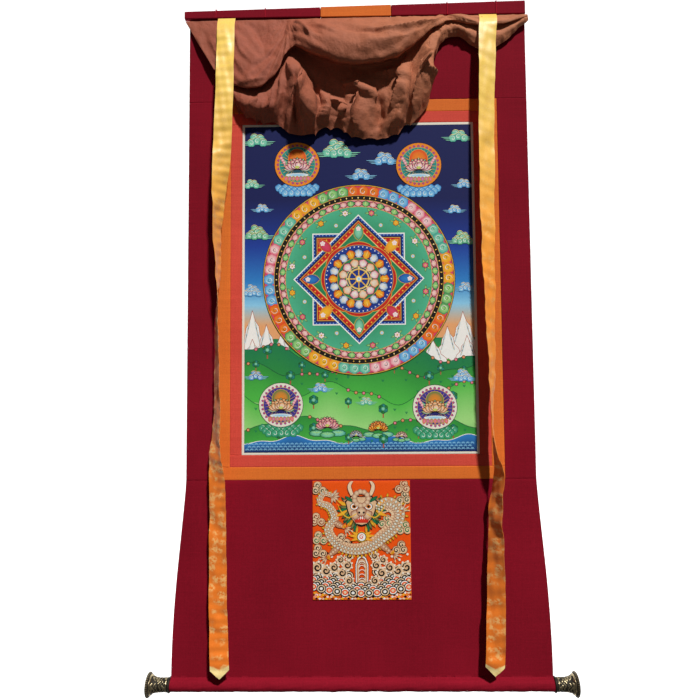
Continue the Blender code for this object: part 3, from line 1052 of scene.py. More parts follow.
@dataclass
class Picture:
    """Flat shapes laid over one another, each level a hair above the last.

    Places are complex numbers, across and up from the picture's middle.
    """

    limit: complex
    step: float = 0.000008
    level: float = 1.0
    highest: float = 1.0
    finest: float = 0.0009
    zoom: float = 1.0
    about: complex = 0j
    points: list[Grid] = field(default_factory=list)
    faces: list[Grid] = field(default_factory=list)
    colours: list[Grid] = field(default_factory=list)
    golds: list[Grid] = field(default_factory=list)
    total: int = 0

    def up(self, levels: float = 1.0) -> None:
        """Goes on at a higher level."""
        self.level += levels
        self.highest = max(self.highest, self.level)

    def to_top(self) -> None:
        """Goes on above all that is drawn."""
        self.level = self.highest + 1

    @contextmanager
    def apart(self, levels: float = 0.0) -> Iterator[None]:
        """Draws something that lies beside the rest, then goes back to this level.

        Args:
            levels: How far above this level it starts.

        Yields:
            Nothing.
        """
        start = self.level
        self.up(levels)
        yield
        self.highest = max(self.highest, self.level)
        self.level = start

    def lay(
        self, places: Points, faces: Grid, colours: Grid, gold: float, lift: Grid | float
    ) -> None:
        """Adds faces at this level.

        Args:
            places: Their corners.
            faces: Triangles by corner number.
            colours: A colour for each corner.
            gold: How much of the paint is gold, from 0 to 1.
            lift: Extra height for each corner, in metres.
        """
        places = self.about + (places - self.about) * self.zoom
        across = np.clip(places.real, -self.limit.real, self.limit.real)
        up = np.clip(places.imag, -self.limit.imag, self.limit.imag)
        height = self.level * self.step + lift + 0 * up
        self.points.append(np.stack([across, up, height], axis=-1))
        self.faces.append(faces + self.total)
        self.colours.append(colours)
        self.golds.append(np.full(len(places), gold))
        self.total += len(places)

    def patch(
        self,
        outline: Points,
        ink: Ink,
        core: Ink | None = None,
        middle: complex | None = None,
        line: Ink | None = None,
        wide: float = 0.0005,
        gold: float = 0.0,
        dome: float = 0.0,
        rise: float = 0.0,
    ) -> None:
        """A filled shape, shaded from its rim to its core.

        Args:
            outline: Its rim, which its middle can see all of.
            ink: The rim's colour.
            core: The middle's colour, or the rim's.
            middle: Its middle, or the mean of the rim.
            line: The colour of a line round it, if it has one.
            wide: The line's width.
            gold: How much of the paint is gold.
            dome: How far its middle stands up.
            rise: How many levels to go up afterwards.
        """
        count = len(outline)
        centre = outline.mean() if middle is None else middle
        low, high = ink.colour, (core or ink).colour
        places, tones, first = [outline], [low], 0
        if core or dome:
            places.append(centre + (outline - centre) * 0.62)
            tones.append(low * 0.35 + high * 0.65)
            first = count
        number = np.arange(first, first + count)
        faces = np.stack([number, np.roll(number, -1), np.full(count, first + count)], axis=-1)
        if first:
            faces = np.concatenate([ladder(count, True), faces])
        colours = np.concatenate([*(np.tile(tone, (count, 1)) for tone in tones), [high]])
        lift = np.where(np.arange(len(colours)) < count, 0.0, dome)
        self.lay(np.concatenate([*places, [centre]]), faces, colours, gold, lift)
        if line is not None:
            with self.apart(0.5):
                self.stroke(np.append(outline, outline[0]), wide, line)
        self.up(rise)

    def strip(
        self,
        left: Points,
        right: Points,
        one: Grid,
        other: Grid,
        gold: float = 0.0,
        closed: bool = False,
    ) -> None:
        """A band between two lines with as many points.

        Args:
            left: One line.
            right: The other.
            one: The colour along the first line, or one for each point.
            other: The same for the second.
            gold: How much of the paint is gold.
            closed: Whether it runs on from its end to its start.
        """
        count = len(left)
        colours = np.concatenate([np.broadcast_to(tone, (count, 3)) for tone in (one, other)])
        self.lay(np.concatenate([left, right]), ladder(count, closed), colours, gold, 0.0)

    def circle(
        self, centre: complex, radius: float, width: float, ink: Ink, core: Ink | None = None
    ) -> None:
        """A round band inside a radius, from its outer colour to its inner one."""
        outer, inner = (disc(centre, reach, 96) for reach in (radius, radius - width))
        self.strip(outer, inner, ink.colour, (core or ink).colour, closed=True)

    def stroke(
        self,
        line: Points,
        wide: float,
        ink: Ink,
        taper: bool = False,
        gold: float = 0.0,
        rise: float = 0.0,
    ) -> None:
        """A brush line.

        Args:
            line: Its points.
            wide: Its width.
            ink: Its colour.
            taper: Whether it thins out to both ends.
            gold: How much of the paint is gold.
            rise: How many levels to go up afterwards.
        """
        run = np.gradient(line)
        side = 1j * run / np.maximum(np.abs(run), 1e-12) * max(wide, self.finest) / 2
        if taper:
            side = side * np.sin(np.linspace(0.08, 1, len(line)) * math.pi * 0.94) ** 0.6
        self.strip(line + side, line - side, ink.colour, ink.colour, gold)
        self.up(rise)

    def wash(self, half: float, stops: Sequence[tuple[float, Ink]]) -> None:
        """A field whose colour changes from its top to its bottom.

        Args:
            half: Half its width.
            stops: Heights with their colours, from the top down.
        """
        spans = [np.linspace(a, b, 9)[:-1] for (a, _), (b, _) in zip(stops, stops[1:])]
        ups = np.concatenate([*spans, [stops[-1][0]]])
        heights = [-up for up, _ in stops]
        table = np.array([stop.colour**0.5 for _, stop in stops])
        colours = np.stack([np.interp(-ups, heights, table[:, k]) for k in range(3)], axis=-1) ** 2
        self.strip(-half + 1j * ups, half + 1j * ups, colours, colours)

    def build(
        self,
        name: str,
        finish: Finish,
        centre: tuple[float, float],
        surface: Callable[[Grid, Grid], Grid],
    ) -> bpy.types.Object:
        """Adds the shapes as one piece.

        Args:
            name: The piece's name.
            finish: Its finish.
            centre: The middle's place across and its drop.
            surface: How far out the cloth lies at a place and a drop.

        Returns:
            The piece.
        """
        points = np.concatenate(self.points)
        across = points[:, 0] + centre[0]
        drop = centre[1] - points[:, 1]
        out = points[:, 2] + surface(across, drop)
        layers = {"paint": np.concatenate(self.colours), "gold": np.concatenate(self.golds)}
        places = to_world(np.stack([across, out, drop], axis=-1))
        faces = np.concatenate(self.faces)
        first, second, third = (places[faces[:, k]] for k in range(3))
        away = np.cross(second - first, third - first)[:, 1] > 0
        faces[away] = faces[away][:, ::-1]
        return add_piece(name, places, [faces], finish, layers)


# ------------------------------------------------------------------ the painting


@dataclass
class Painting:
    """Primed canvas with a lotus rosette over a mountain valley, inside a bare margin."""

    half: float = PAINTING_HALF - GAP
    top: float = PAINTING_TOP + GAP
    bottom: float = PAINTING_BOTTOM - GAP
    canvas: float = 0.0014
    margin: float = 0.0042
    middle: complex = 0.0 + 0.014j
    reach: float = 0.182
    inset: float = 0.0008
    art: Picture = field(default_factory=lambda: Picture(0.2201 + 0.3158j))

    @property
    def height(self) -> float:
        """The canvas's height."""
        return self.bottom - self.top

    @property
    def side(self) -> float:
        """How far hills, peaks and water reach across from the middle."""
        return self.half - self.margin - self.inset

    @property
    def foot(self) -> float:
        """Where the lowest of them end, measured up from the middle."""
        return self.margin + self.inset - self.height / 2

    def build(self) -> bpy.types.Object:
        """Adds the canvas and the painted picture.

        Returns:
            The canvas.
        """
        art = self.art
        cut = CutPiece(
            "painting", -self.half, self.half, self.top, self.bottom, Finish.CANVAS, self.canvas,
            pitch=0.012, turned=0.0006, pucker=0.0,
        )
        front, back = cut.faces()
        paint = np.tile(Ink.CREAM.colour, (*front.shape[:2], 1))
        plain = np.zeros(front.shape[:2])
        layers = {"paint": (paint, paint), "gold": (plain, plain)}
        canvas = add_sheet("painting", front, back, Finish.CANVAS, layers, plain_back=True)
        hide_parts("painting")
        self.backdrop()
        self.mountains()
        self.hills()
        self.lake()
        with art.apart():
            self.clouds()
            self.roundels()
        art.to_top()
        self.rosette()
        centre = (0.0, (self.top + self.bottom) / 2)
        picture = art.build("painted_picture", Finish.CANVAS, centre, lambda x, drop: 0 * x)
        flat = (2 * self.half, self.height)
        return canvas

    def backdrop(self) -> None:
        """The sky and the valley's ground."""
        art = self.art
        wide = self.half - self.margin
        tall = self.height / 2 - self.margin
        sky = [
            (tall, Ink.NAVY), (0.17, Ink.NAVY), (0.08, Ink.ROYAL), (0.01, Ink.AZURE),
            (-0.035, Ink.SKY),
            (-0.075, Ink.PEACH), (-0.10, Ink.PEACH),
        ]
        art.wash(wide, sky)
        land = [(-0.10, Ink.EMERALD), (-0.15, Ink.GRASS), (-0.26, Ink.LIME), (-tall, Ink.LEAF)]
        art.wash(wide, land)
        art.up()
        edge = wide + 1j * tall
        corners = np.array([edge, -edge.conjugate(), -edge, edge.conjugate(), edge])
        for start, end in zip(corners, corners[1:]):
            art.stroke(np.linspace(start, end, 3), 0.0011, Ink.BLACK)
        art.up()

    def mountains(self) -> None:
        """Snow peaks on both sides, their shaded faces and gold ridges."""
        peaks = (
            (-0.205, -0.045, 0.030, 0.085), (-0.178, -0.072, 0.028, 0.070),
            (-0.150, -0.090, 0.034, 0.066), (-0.205, -0.100, 0.026, 0.050),
            (0.198, -0.050, 0.034, 0.080), (0.168, -0.078, 0.026, 0.062),
            (0.205, -0.096, 0.026, 0.052),
            (0.140, -0.104, 0.030, 0.050),
        )
        for x, y, half, tall in peaks:
            self.peak(complex(x, y), half, tall)

    def peak(self, tip: complex, half: float, tall: float) -> None:
        """One snow peak.

        Args:
            tip: Its top.
            half: Half its width at the foot.
            tall: Its height.
        """
        art = self.art
        limit = self.side
        jag = np.array((0.0, 0.24, 0.36, 0.55, 0.7, 1.0))
        reach = np.array((0.0, 0.20, 0.42, 0.50, 0.82, 1.0))
        right = tip + reach * half - 1j * jag * tall
        left = tip - reach * half * 0.95 - 1j * jag**0.9 * tall
        foot = np.linspace(right[-1], left[-1], 7)[1:-1]
        foot = foot - 1j * tall * 0.10 * (np.arange(5) % 2)
        outline = np.concatenate([right, foot, left[:0:-1]])
        outline = np.clip(outline.real, -limit, limit) + 1j * outline.imag
        middle = complex(np.clip(tip.real, -limit + 0.004, limit - 0.004), tip.imag - tall * 0.55)
        art.patch(outline, Ink.WHITE, Ink.WHITE, middle, Ink.ROCK, 0.0005, rise=1.0)
        for share in (0.30, 0.52, 0.74):
            for way in (-1, 1):
                start = tip + way * half * share * 0.45 - 1j * tall * share * 0.7
                end = start + way * half * 0.16 - 1j * tall * 0.24
                ends = np.clip([start.real, end.real], -limit, limit)
                start, end = complex(ends[0], start.imag), complex(ends[1], end.imag)
                if abs(end - start) > 0.004:
                    art.patch(petal(start, end, 0.0035), Ink.SKY, Ink.WHITE)
                    with art.apart(0.5):
                        art.stroke(np.linspace(start, end, 4), 0.0006, Ink.GOLD, True, 0.8)
        art.up()

    def hills(self) -> None:
        """Rolling ground in front of the peaks, with rocky crests, bushes and trees."""
        art = self.art
        ridges = (
            (-0.128, 0.016, 0.0, Ink.LEAF, Ink.EMERALD), (-0.158, 0.013, 1.3, Ink.GRASS, Ink.LEAF),
            (-0.205, 0.017, 2.9, Ink.LIME, Ink.GRASS), (-0.262, 0.011, 4.4, Ink.GRASS, Ink.LEAF),
        )
        limit, low = self.side, self.foot
        for up, swell, phase, light, deep in ridges:
            x = np.linspace(-limit, limit, 61)
            crest = up + swell * np.sin(x * 26 + phase) + 0.35 * swell * np.sin(x * 71 + 2 * phase)
            top, base = x + 1j * crest, x + 1j * np.maximum(crest - 0.075, low)
            art.strip(top, base, deep.colour, light.colour)
            art.up()
            art.stroke(top, 0.0010, Ink.PINE)
            self.crest(top, phase)
            self.grass(x[::3], crest[::3], phase)
            art.up(6)

    def crest(self, line: Points, phase: float) -> None:
        """Small rocks along a hill's crest.

        Args:
            line: The crest.
            phase: What makes this crest unlike the others.
        """
        art = self.art
        with art.apart(1.0):
            for number, place in enumerate(line[1:-1:2]):
                if math.sin(number * 0.55 + phase * 2) < 0.1:
                    continue
                rock = lobed(place - 0.0008j, 0.0034, 5, 0.25, 3)
                core = Ink.PINK if number % 2 else Ink.PEACH
                art.patch(rock, Ink.ROCK, core, line=Ink.BLACK, wide=0.0003, rise=0.1)

    def grass(self, x: Grid, crest: Grid, phase: float) -> None:
        """Tufts and bushes below a crest.

        Args:
            x: Places across.
            crest: The crest's height there.
            phase: What makes this hill unlike the others.
        """
        art = self.art
        with art.apart(2):
            for number, (place, up) in enumerate(zip(x[1:-1], crest[1:-1])):
                spot = complex(place, up - 0.012 - 0.010 * (number % 3))
                if spot.imag < self.foot + 0.01:
                    continue
                if math.sin(number * 2.1 + phase) > 0.55:
                    self.tree(spot, 0.0065 + 0.002 * (number % 2))
                    continue
                for lean in (-0.5, 0.0, 0.5):
                    blade = petal(spot, spot + 0.0055 * complex(lean, 1.0), 0.0012, count=4)
                    art.patch(blade, Ink.EMERALD)

    def tree(self, spot: complex, size: float) -> None:
        """A round-headed tree of leaf clusters.

        Args:
            spot: Its foot.
            size: Its head's radius.
        """
        art = self.art
        trunk = np.array([spot - 0.5j * size, spot + 0.4j * size, spot + 1.2j * size])
        art.stroke(trunk, size * 0.28, Ink.ROCK)
        head = spot + 1.5j * size
        for number, place in enumerate(ring_places(head, size * 0.62, 6, 0.08)):
            art.up(0.4)
            leaf = lobed(place, size * 0.55, 6, 0.2, 3)
            art.patch(leaf, Ink.PINE, Ink.TEAL if number % 2 else Ink.LEAF)
            art.stroke(curl(place, size * 0.28, 0.7, 0.2, 6), 0.0004, Ink.MINT, True)
        art.up(0.4)
        art.patch(lobed(head, size * 0.5, 6, 0.2, 3), Ink.EMERALD, Ink.MINT)

    def lake(self) -> None:
        """Dark water along the foot, with lotus flowers standing in it."""
        art = self.art
        limit, low = self.side, self.foot
        x = np.linspace(-limit, limit, 81)
        shore = x + 1j * (-0.292 + 0.006 * np.sin(x * 38) + 0.003 * np.sin(x * 95 + 1))
        art.strip(shore, x + 1j * low, Ink.AZURE.colour, Ink.NAVY.colour)
        art.up()
        art.stroke(shore, 0.0012, Ink.WHITE)
        for row in range(3):
            for place in np.arange(-limit + 0.006 + 0.004 * (row % 2), limit - 0.005, 0.0085):
                centre = complex(place, low + 0.0035 + 0.0052 * row)
                for radius in (0.0036, 0.0022):
                    arc = centre + radius * np.exp(1j * np.linspace(0.15, math.pi - 0.15, 7))
                    art.stroke(arc, 0.0005, Ink.SKY, True)
        art.up()
        flowers = (
            (-0.062, -0.262, 0.024, Ink.ROSE, Ink.BLUSH),
            (0.034, -0.268, 0.020, Ink.SCARLET, Ink.YELLOW),
            (-0.008, -0.282, 0.013, Ink.AZURE, Ink.WHITE),
            (0.078, -0.284, 0.012, Ink.PINK, Ink.WHITE),
        )
        for across, up, size, ink, core in flowers:
            with art.apart():
                self.leaves(complex(across, up - size * 0.75), size)
                self.lotus(complex(across, up - size * 0.3), size, ink, core)
        art.to_top()

    def leaves(self, centre: complex, size: float) -> None:
        """Lotus leaves under a flower.

        Args:
            centre: Their middle.
            size: The flower's size.
        """
        art = self.art
        for way, tone in ((-1, Ink.EMERALD), (1, Ink.TEAL), (0, Ink.LEAF)):
            place = centre + way * size * 0.85 - 0.12j * size * (1 - abs(way))
            leaf = lobed(place, size * 0.62, 9, 0.10, 4)
            leaf = leaf.real + 1j * (place.imag + (leaf.imag - place.imag) * 0.42)
            art.patch(leaf, tone, Ink.MINT, line=Ink.PINE, wide=0.0005, rise=0.6)
            for angle in np.linspace(-0.9, 0.9, 5):
                vein = place + size * 0.5 * complex(math.sin(angle), 0.38 * math.cos(angle))
                art.stroke(np.array([place, (place + vein) / 2, vein]), 0.0004, Ink.LIME)
            art.up(0.6)

    def lotus(self, centre: complex, size: float, ink: Ink, core: Ink) -> None:
        """An open lotus seen from the side.

        Args:
            centre: Where its petals meet.
            size: How far the tallest petal reaches.
            ink: The petals' tips.
            core: The petals' hearts.
        """
        art = self.art
        rows = (
            (7, 1.25, 1.00, 0.36, Ink.EMERALD), (6, 1.05, 0.96, 0.40, None),
            (5, 0.82, 0.84, 0.44, None), (4, 0.55, 0.62, 0.46, None),
        )
        for count, spread, length, wide, tone in rows:
            angles = np.linspace(-spread, spread, count)
            for angle in sorted(angles, key=lambda value: -abs(value)):
                way = complex(math.sin(angle * 1.25), math.cos(angle * 1.25) * 0.9)
                tip = centre + size * length * way
                shape = petal(centre, tip, size * wide, 0.62, 7)
                heart = centre + (tip - centre) * 0.42
                art.patch(shape, tone or ink, core, heart, Ink.BLACK, 0.00035)
                with art.apart(0.7):
                    vein = np.array([heart, heart + (tip - heart) * 0.5, tip])
                    art.stroke(vein, 0.0004, Ink.PALE_GOLD, True, 0.7)
                art.up(0.8)
        art.patch(disc(centre + 0.16j * size, size * 0.17, 10, 0.6), Ink.YELLOW, Ink.LIME, rise=1.0)

    def cloud(self, centre: complex, size: float, rows: int, ink: Ink, core: Ink) -> None:
        """A bank of curled cloud.

        Args:
            centre: The middle of its foot.
            size: One lobe's radius.
            rows: How many rows of lobes.
            ink: The lobes' deeper colour.
            core: Their paler colour.
        """
        art = self.art
        for row in range(rows, 0, -1):
            count = rows - row + 2
            for number in range(count):
                share = number - (count - 1) / 2
                place = centre + size * complex(share * 1.35, (row - 1) * 0.85)
                place += size * 0.25j * math.sin(3 * share + row)
                art.patch(lobed(place, size, 5, 0.16, 4), ink, core, place - 0.3j * size, rise=0.5)
                way = 1 if share >= 0 else -1
                line = curl(place, size * 0.68, 0.95 * way, 0.25 - 0.15 * way, 10)
                art.stroke(line, size * 0.13, Ink.WHITE, True)
                rim = place + size * 0.93 * np.exp(1j * np.linspace(0.5, math.pi - 0.5, 7))
                art.stroke(rim, size * 0.10, Ink.PALE_GOLD, True, 0.5, rise=0.5)
        for way in (-1, 1):
            for k in range(3):
                start = centre + size * complex(way * (0.5 + rows * 0.62), -0.35 * k)
                line = start + size * way * np.linspace(0, 2.4 - 0.5 * k, 5)
                art.stroke(line, size * 0.16, core, True)

    def clouds(self) -> None:
        """Clouds in the sky and mist among the hills."""
        banks = (
            (-0.196, 0.286, 0.0085, 2, Ink.TEAL, Ink.MINT),
            (-0.040, 0.262, 0.0095, 3, Ink.TEAL, Ink.MINT),
            (0.052, 0.246, 0.0085, 2, Ink.AZURE, Ink.SKY),
            (0.196, 0.290, 0.0080, 2, Ink.TEAL, Ink.MINT),
            (0.205, 0.196, 0.0060, 2, Ink.AZURE, Ink.SKY),
            (-0.206, 0.200, 0.0060, 2, Ink.TEAL, Ink.MINT),
            (0.006, 0.216, 0.0075, 2, Ink.AZURE, Ink.SKY),
            (-0.196, 0.100, 0.0075, 3, Ink.EMERALD, Ink.MINT),
            (0.200, 0.086, 0.0070, 3, Ink.EMERALD, Ink.MINT),
            (-0.205, -0.012, 0.0060, 3, Ink.AZURE, Ink.SKY),
            (0.204, -0.006, 0.0060, 2, Ink.AZURE, Ink.SKY),
            (0.186, 0.146, 0.0055, 2, Ink.AZURE, Ink.SKY),
            (-0.186, 0.152, 0.0055, 2, Ink.AZURE, Ink.SKY),
            (-0.075, -0.196, 0.0060, 2, Ink.AZURE, Ink.SKY),
            (0.196, -0.178, 0.0062, 3, Ink.AZURE, Ink.SKY),
            (-0.198, -0.172, 0.0060, 2, Ink.ROYAL, Ink.SKY),
            (0.012, -0.222, 0.0052, 2, Ink.TEAL, Ink.MINT),
        )
        for across, up, size, rows, ink, core in banks:
            with self.art.apart():
                self.cloud(complex(across, up), size, rows, ink, core)

    def roundels(self) -> None:
        """Four lotus roundels: two among the clouds and two in the valley."""
        upper = ((-0.118, 0.240), (0.118, 0.236))
        lower = ((-0.150, -0.226), (0.142, -0.232))
        for across, up in upper:
            with self.art.apart():
                self.bank(complex(across, up - 0.046), Ink.AZURE, Ink.SKY)
                self.roundel(complex(across, up), 0.044, Ink.ORANGE, Ink.SCARLET, Ink.TEAL)
        for across, up in lower:
            with self.art.apart():
                self.bank(complex(across, up - 0.043), Ink.EMERALD, Ink.FIELD)
                self.roundel(complex(across, up), 0.042, Ink.CREAM, Ink.EMERALD, Ink.VIOLET)

    def bank(self, centre: complex, ink: Ink, core: Ink) -> None:
        """A low bank of lobes under a roundel.

        Args:
            centre: Its middle.
            ink: The lobes' deeper colour.
            core: Their paler colour.
        """
        art = self.art
        for row, count in ((0, 7), (1, 6), (2, 5)):
            for number in range(count):
                share = number - (count - 1) / 2
                place = centre + complex(share * 0.0118, -0.0052 * row)
                art.patch(lobed(place, 0.0078, 5, 0.14, 4), ink, core, place - 0.002j, rise=0.4)
                line = curl(place, 0.0052, 0.8 if share > 0 else -0.8, 0.25, 8)
                art.stroke(line, 0.0008, Ink.WHITE, True, rise=0.4)

    def roundel(self, centre: complex, radius: float, rim: Ink, halo: Ink, ground: Ink) -> None:
        """A round of petals with a lotus in it.

        Args:
            centre: Its middle.
            radius: Its radius.
            rim: The rim's colour.
            halo: The disc behind the flower.
            ground: The field's colour.
        """
        art = self.art
        art.patch(disc(centre, radius, 40), rim, rim, line=Ink.BLACK, wide=0.0007, rise=1.0)
        for place in ring_places(centre, radius * 0.92, 28):
            tip = centre + (place - centre) * 0.86
            art.patch(petal(place, tip, radius * 0.13, count=4), Ink.ROYAL, Ink.ROSE)
        art.up()
        inner = radius * 0.80
        art.patch(disc(centre, inner, 36), ground, Ink.NAVY, line=Ink.GOLD, wide=0.0008, rise=1.0)
        for place in ring_places(centre, inner * 0.94, 30, 0.02):
            ray = centre + (place - centre) * np.linspace(0.5, 1.0, 3)
            art.stroke(ray, 0.0004, Ink.GOLD, True, 0.7)
        art.up()
        crown = centre + 0.30j * radius
        art.patch(
            disc(crown, radius * 0.40, 28), halo, Ink.ORANGE, line=Ink.GOLD, wide=0.0007, rise=1.0
        )
        for way in (-1, 1):
            for k in range(4):
                start = centre + complex(way * 0.20 * radius, -0.15 * radius)
                bend = start + radius * complex(way * (0.22 + 0.06 * k), 0.05 + 0.10 * k)
                end = bend + radius * complex(way * 0.10, 0.10)
                art.patch(petal(start, end, radius * 0.10, count=5), Ink.LEAF, Ink.MINT)
                with art.apart(0.5):
                    art.patch(lobed(end, radius * 0.075, 5, 0.3, 3), Ink.ROSE, Ink.BLUSH)
                art.up(0.2)
        art.up()
        petals = (Ink.ROSE, Ink.WHITE) if rim is Ink.ORANGE else (Ink.ORANGE, Ink.CREAM)
        self.lotus(centre - 0.22j * radius, radius * 0.62, *petals)
        base = centre - 0.62j * radius
        art.patch(
            disc(base + 0.14j * radius, radius * 0.50, 20, 0.18), Ink.WHITE, Ink.SKY, rise=1.0
        )
        for number, share in enumerate(np.linspace(-0.46, 0.46, 7)):
            start = base + complex(share * radius, 0.10 * radius)
            end = start + complex(share * 0.16 * radius, -0.24 * radius)
            ink = (Ink.RED, Ink.ROYAL, Ink.EMERALD)[number % 3]
            art.patch(
                petal(start, end, radius * 0.17, 0.4, 5), ink, Ink.PINK, line=Ink.GOLD, wide=0.0004
            )
            art.up(0.1)

    def petal_ring(
        self,
        radius: float,
        length: float,
        count: int,
        inks: Sequence[tuple[Ink, Ink]],
        wide: float = 1.25,
        start: float = 0.0,
    ) -> None:
        """A ring of outward petals in the rosette.

        Args:
            radius: Where their tips reach.
            length: How long they are.
            count: How many.
            inks: Rims and hearts, in turn.
            wide: Their width over their spacing.
            start: The first one's angle in turns.
        """
        art = self.art
        tips = ring_places(self.middle, radius, count, start)
        spacing = math.tau * (radius - length / 2) / count
        for number, tip in enumerate(tips):
            base = self.middle + (tip - self.middle) * (1 - length / radius)
            ink, core = inks[number % len(inks)]
            heart = base + (tip - base) * 0.4
            shape = petal(base, tip, spacing * wide, 0.55, 6)
            art.patch(shape, ink, core, heart, Ink.BLACK, 0.00035)
            with art.apart(0.7):
                line = np.array([heart, (heart + tip) / 2, tip - (tip - base) * 0.12])
                art.stroke(line, 0.0004, Ink.PALE_GOLD, True, 0.6)
            art.up(0.02)
        art.up()

    def rosette(self) -> None:
        """The great rosette in rings, with a star of two squares and a wheel at its heart."""
        art, centre, reach = self.art, self.middle, self.reach
        art.patch(disc(centre, reach, 96), Ink.ROSE, Ink.RED, line=Ink.BLACK, wide=0.0010, rise=1.0)
        self.ring_of_clouds(reach)
        for radius, width, ink in (
            (reach - 0.0185, 0.0012, Ink.GOLD), (reach - 0.0195, 0.0080, Ink.BLACK),
            (reach - 0.0272, 0.0010, Ink.GOLD),
        ):
            art.circle(centre, radius, width, ink)
            art.up()
        for number, place in enumerate(ring_places(centre, reach - 0.0234, 88)):
            way = (place - centre) / abs(place - centre)
            shape = np.array([place + 0.0021 * way, place + 0.0013j * way, place - 0.0021 * way])
            shape = np.append(shape, place - 0.0013j * way)
            art.patch(shape, Ink.GOLD if number % 2 else Ink.PALE_GOLD, gold=0.9)
        art.up()
        inner = reach - 0.0282
        art.patch(disc(centre, inner, 96), Ink.PINK, Ink.ROSE, rise=1.0)
        self.petal_ring(inner - 0.0006, 0.0125, 64, ((Ink.RED, Ink.BLUSH), (Ink.EMERALD, Ink.LIME)))
        field_reach = inner - 0.0128
        art.patch(
            disc(centre, field_reach, 96), Ink.FIELD, Ink.EMERALD, line=Ink.GOLD, wide=0.0010,
            rise=1.0,
        )
        self.sprigs(field_reach)
        self.star(0.126)
        self.heart()

    def ring_of_clouds(self, reach: float) -> None:
        """The outer ring of coloured scrolls.

        Args:
            reach: Its outer radius.
        """
        art = self.art
        tones = (
            (Ink.ORANGE, Ink.YELLOW), (Ink.TEAL, Ink.MINT), (Ink.ROSE, Ink.BLUSH),
            (Ink.AZURE, Ink.SKY),
            (Ink.SCARLET, Ink.ORANGE), (Ink.EMERALD, Ink.LIME),
        )
        count = 54
        places = ring_places(self.middle, reach - 0.0105, count)
        for number, place in enumerate(places):
            ink, core = tones[(number // 3) % len(tones)]
            way = (place - self.middle) / abs(place - self.middle)
            shape = lobed(place, 0.0118, 6, 0.12, 4)
            art.patch(shape, ink, core, place + 0.003 * way)
            with art.apart(0.6):
                turn = math.atan2(way.imag, way.real) / math.tau
                art.stroke(curl(place, 0.0075, 0.9, turn, 9), 0.0010, Ink.WHITE, True)
                art.stroke(curl(place, 0.0050, -0.8, turn + 0.4, 8), 0.0007, Ink.BLACK, True)
            art.up(0.03)
        art.up()
        art.circle(self.middle, reach + 0.0020, 0.0016, Ink.GOLD)
        art.circle(self.middle, reach + 0.0030, 0.0010, Ink.BLACK)
        art.up()

    def sprigs(self, reach: float) -> None:
        """Flowers and leaves in the field round the star.

        Args:
            reach: The field's radius.
        """
        art = self.art
        for number, place in enumerate(ring_places(self.middle, reach * 0.925, 16, 1 / 32)):
            with art.apart():
                way = (place - self.middle) / abs(place - self.middle)
                for lean in (-0.8, -0.4, 0.4, 0.8):
                    tip = place + 0.0135 * way * complex(math.cos(lean * 2.2), math.sin(lean * 2.2))
                    art.patch(petal(place, tip, 0.0042, count=5), Ink.PINE, Ink.LIME, rise=0.1)
                ink, core = ((Ink.RED, Ink.PINK), (Ink.WHITE, Ink.BLUSH), (Ink.ORANGE, Ink.YELLOW))[
                    number % 3
                ]
                art.patch(
                    lobed(place, 0.0062, 6, 0.28, 4), ink, core, line=Ink.BLACK, wide=0.0003,
                    rise=1.0,
                )
                art.patch(disc(place, 0.0017, 8), Ink.GOLD, gold=0.8)
        for number, place in enumerate(ring_places(self.middle, reach * 0.80, 16, 0)):
            with art.apart():
                art.patch(
                    disc(place, 0.0034, 12), Ink.WHITE, Ink.SKY, line=Ink.GOLD, wide=0.0004,
                    rise=1.0,
                )
        art.up(4)

    def star(self, reach: float) -> None:
        """Two squares laid crosswise, their borders in steps of colour.

        Args:
            reach: How far the corners reach.
        """
        art = self.art
        steps = (
            (1.000, Ink.WHITE), (0.975, Ink.ROYAL), (0.935, Ink.NAVY), (0.905, Ink.GOLD),
            (0.890, Ink.RED), (0.815, Ink.SCARLET), (0.795, Ink.PALE_GOLD),
        )
        fills = ((0.125, Ink.YELLOW, Ink.ORANGE), (0.0, Ink.EMERALD, Ink.FIELD))
        for start, ground, core in fills:
            for share, ink in steps:
                art.patch(ring_places(self.middle, reach * share, 4, start), ink, rise=0.5)
            square = ring_places(self.middle, reach * 0.78, 4, start)
            art.patch(square, ground, core, rise=0.5)
            self.studs(reach * 0.955, start, Ink.SKY, 0.0010, 26)
            self.studs(reach * 0.852, start, Ink.YELLOW, 0.0015, 16)
            art.up()
        inner = lobed(self.middle, reach * 0.575, 8, 0.06, 10)
        art.patch(inner, Ink.RED, Ink.SCARLET, line=Ink.GOLD, wide=0.0012, rise=1.0)
        tones = (
            (Ink.ROYAL, Ink.AZURE),
            (Ink.ORANGE, Ink.YELLOW),
            (Ink.EMERALD, Ink.MINT),
            (Ink.RED, Ink.ROSE),
        )
        for number, place in enumerate(ring_places(self.middle, reach * 0.845, 8, 0)):
            ink, core = tones[number % 4]
            with art.apart():
                run = place - self.middle
                shape = petal(self.middle + run * 0.70, self.middle + run * 1.02, 0.019, 0.45, 7)
                art.patch(shape, ink, core, line=Ink.GOLD, wide=0.0008, rise=1.0)
                art.patch(lobed(place - run * 0.08, 0.0050, 5, 0.3, 4), Ink.WHITE, Ink.BLUSH)
        art.up(3)

    def studs(self, reach: float, start: float, ink: Ink, size: float, count: int) -> None:
        """Small studs along a square's sides.

        Args:
            reach: The square's reach to its corners.
            start: Its first corner's angle in turns.
            ink: Their colour.
            size: Their radius.
            count: How many on a side.
        """
        corners = ring_places(self.middle, reach, 4, start)
        for first, second in zip(corners, np.roll(corners, -1)):
            for place in first + (second - first) * (np.arange(count) + 0.5) / count:
                self.art.patch(disc(place, size, 6), ink)

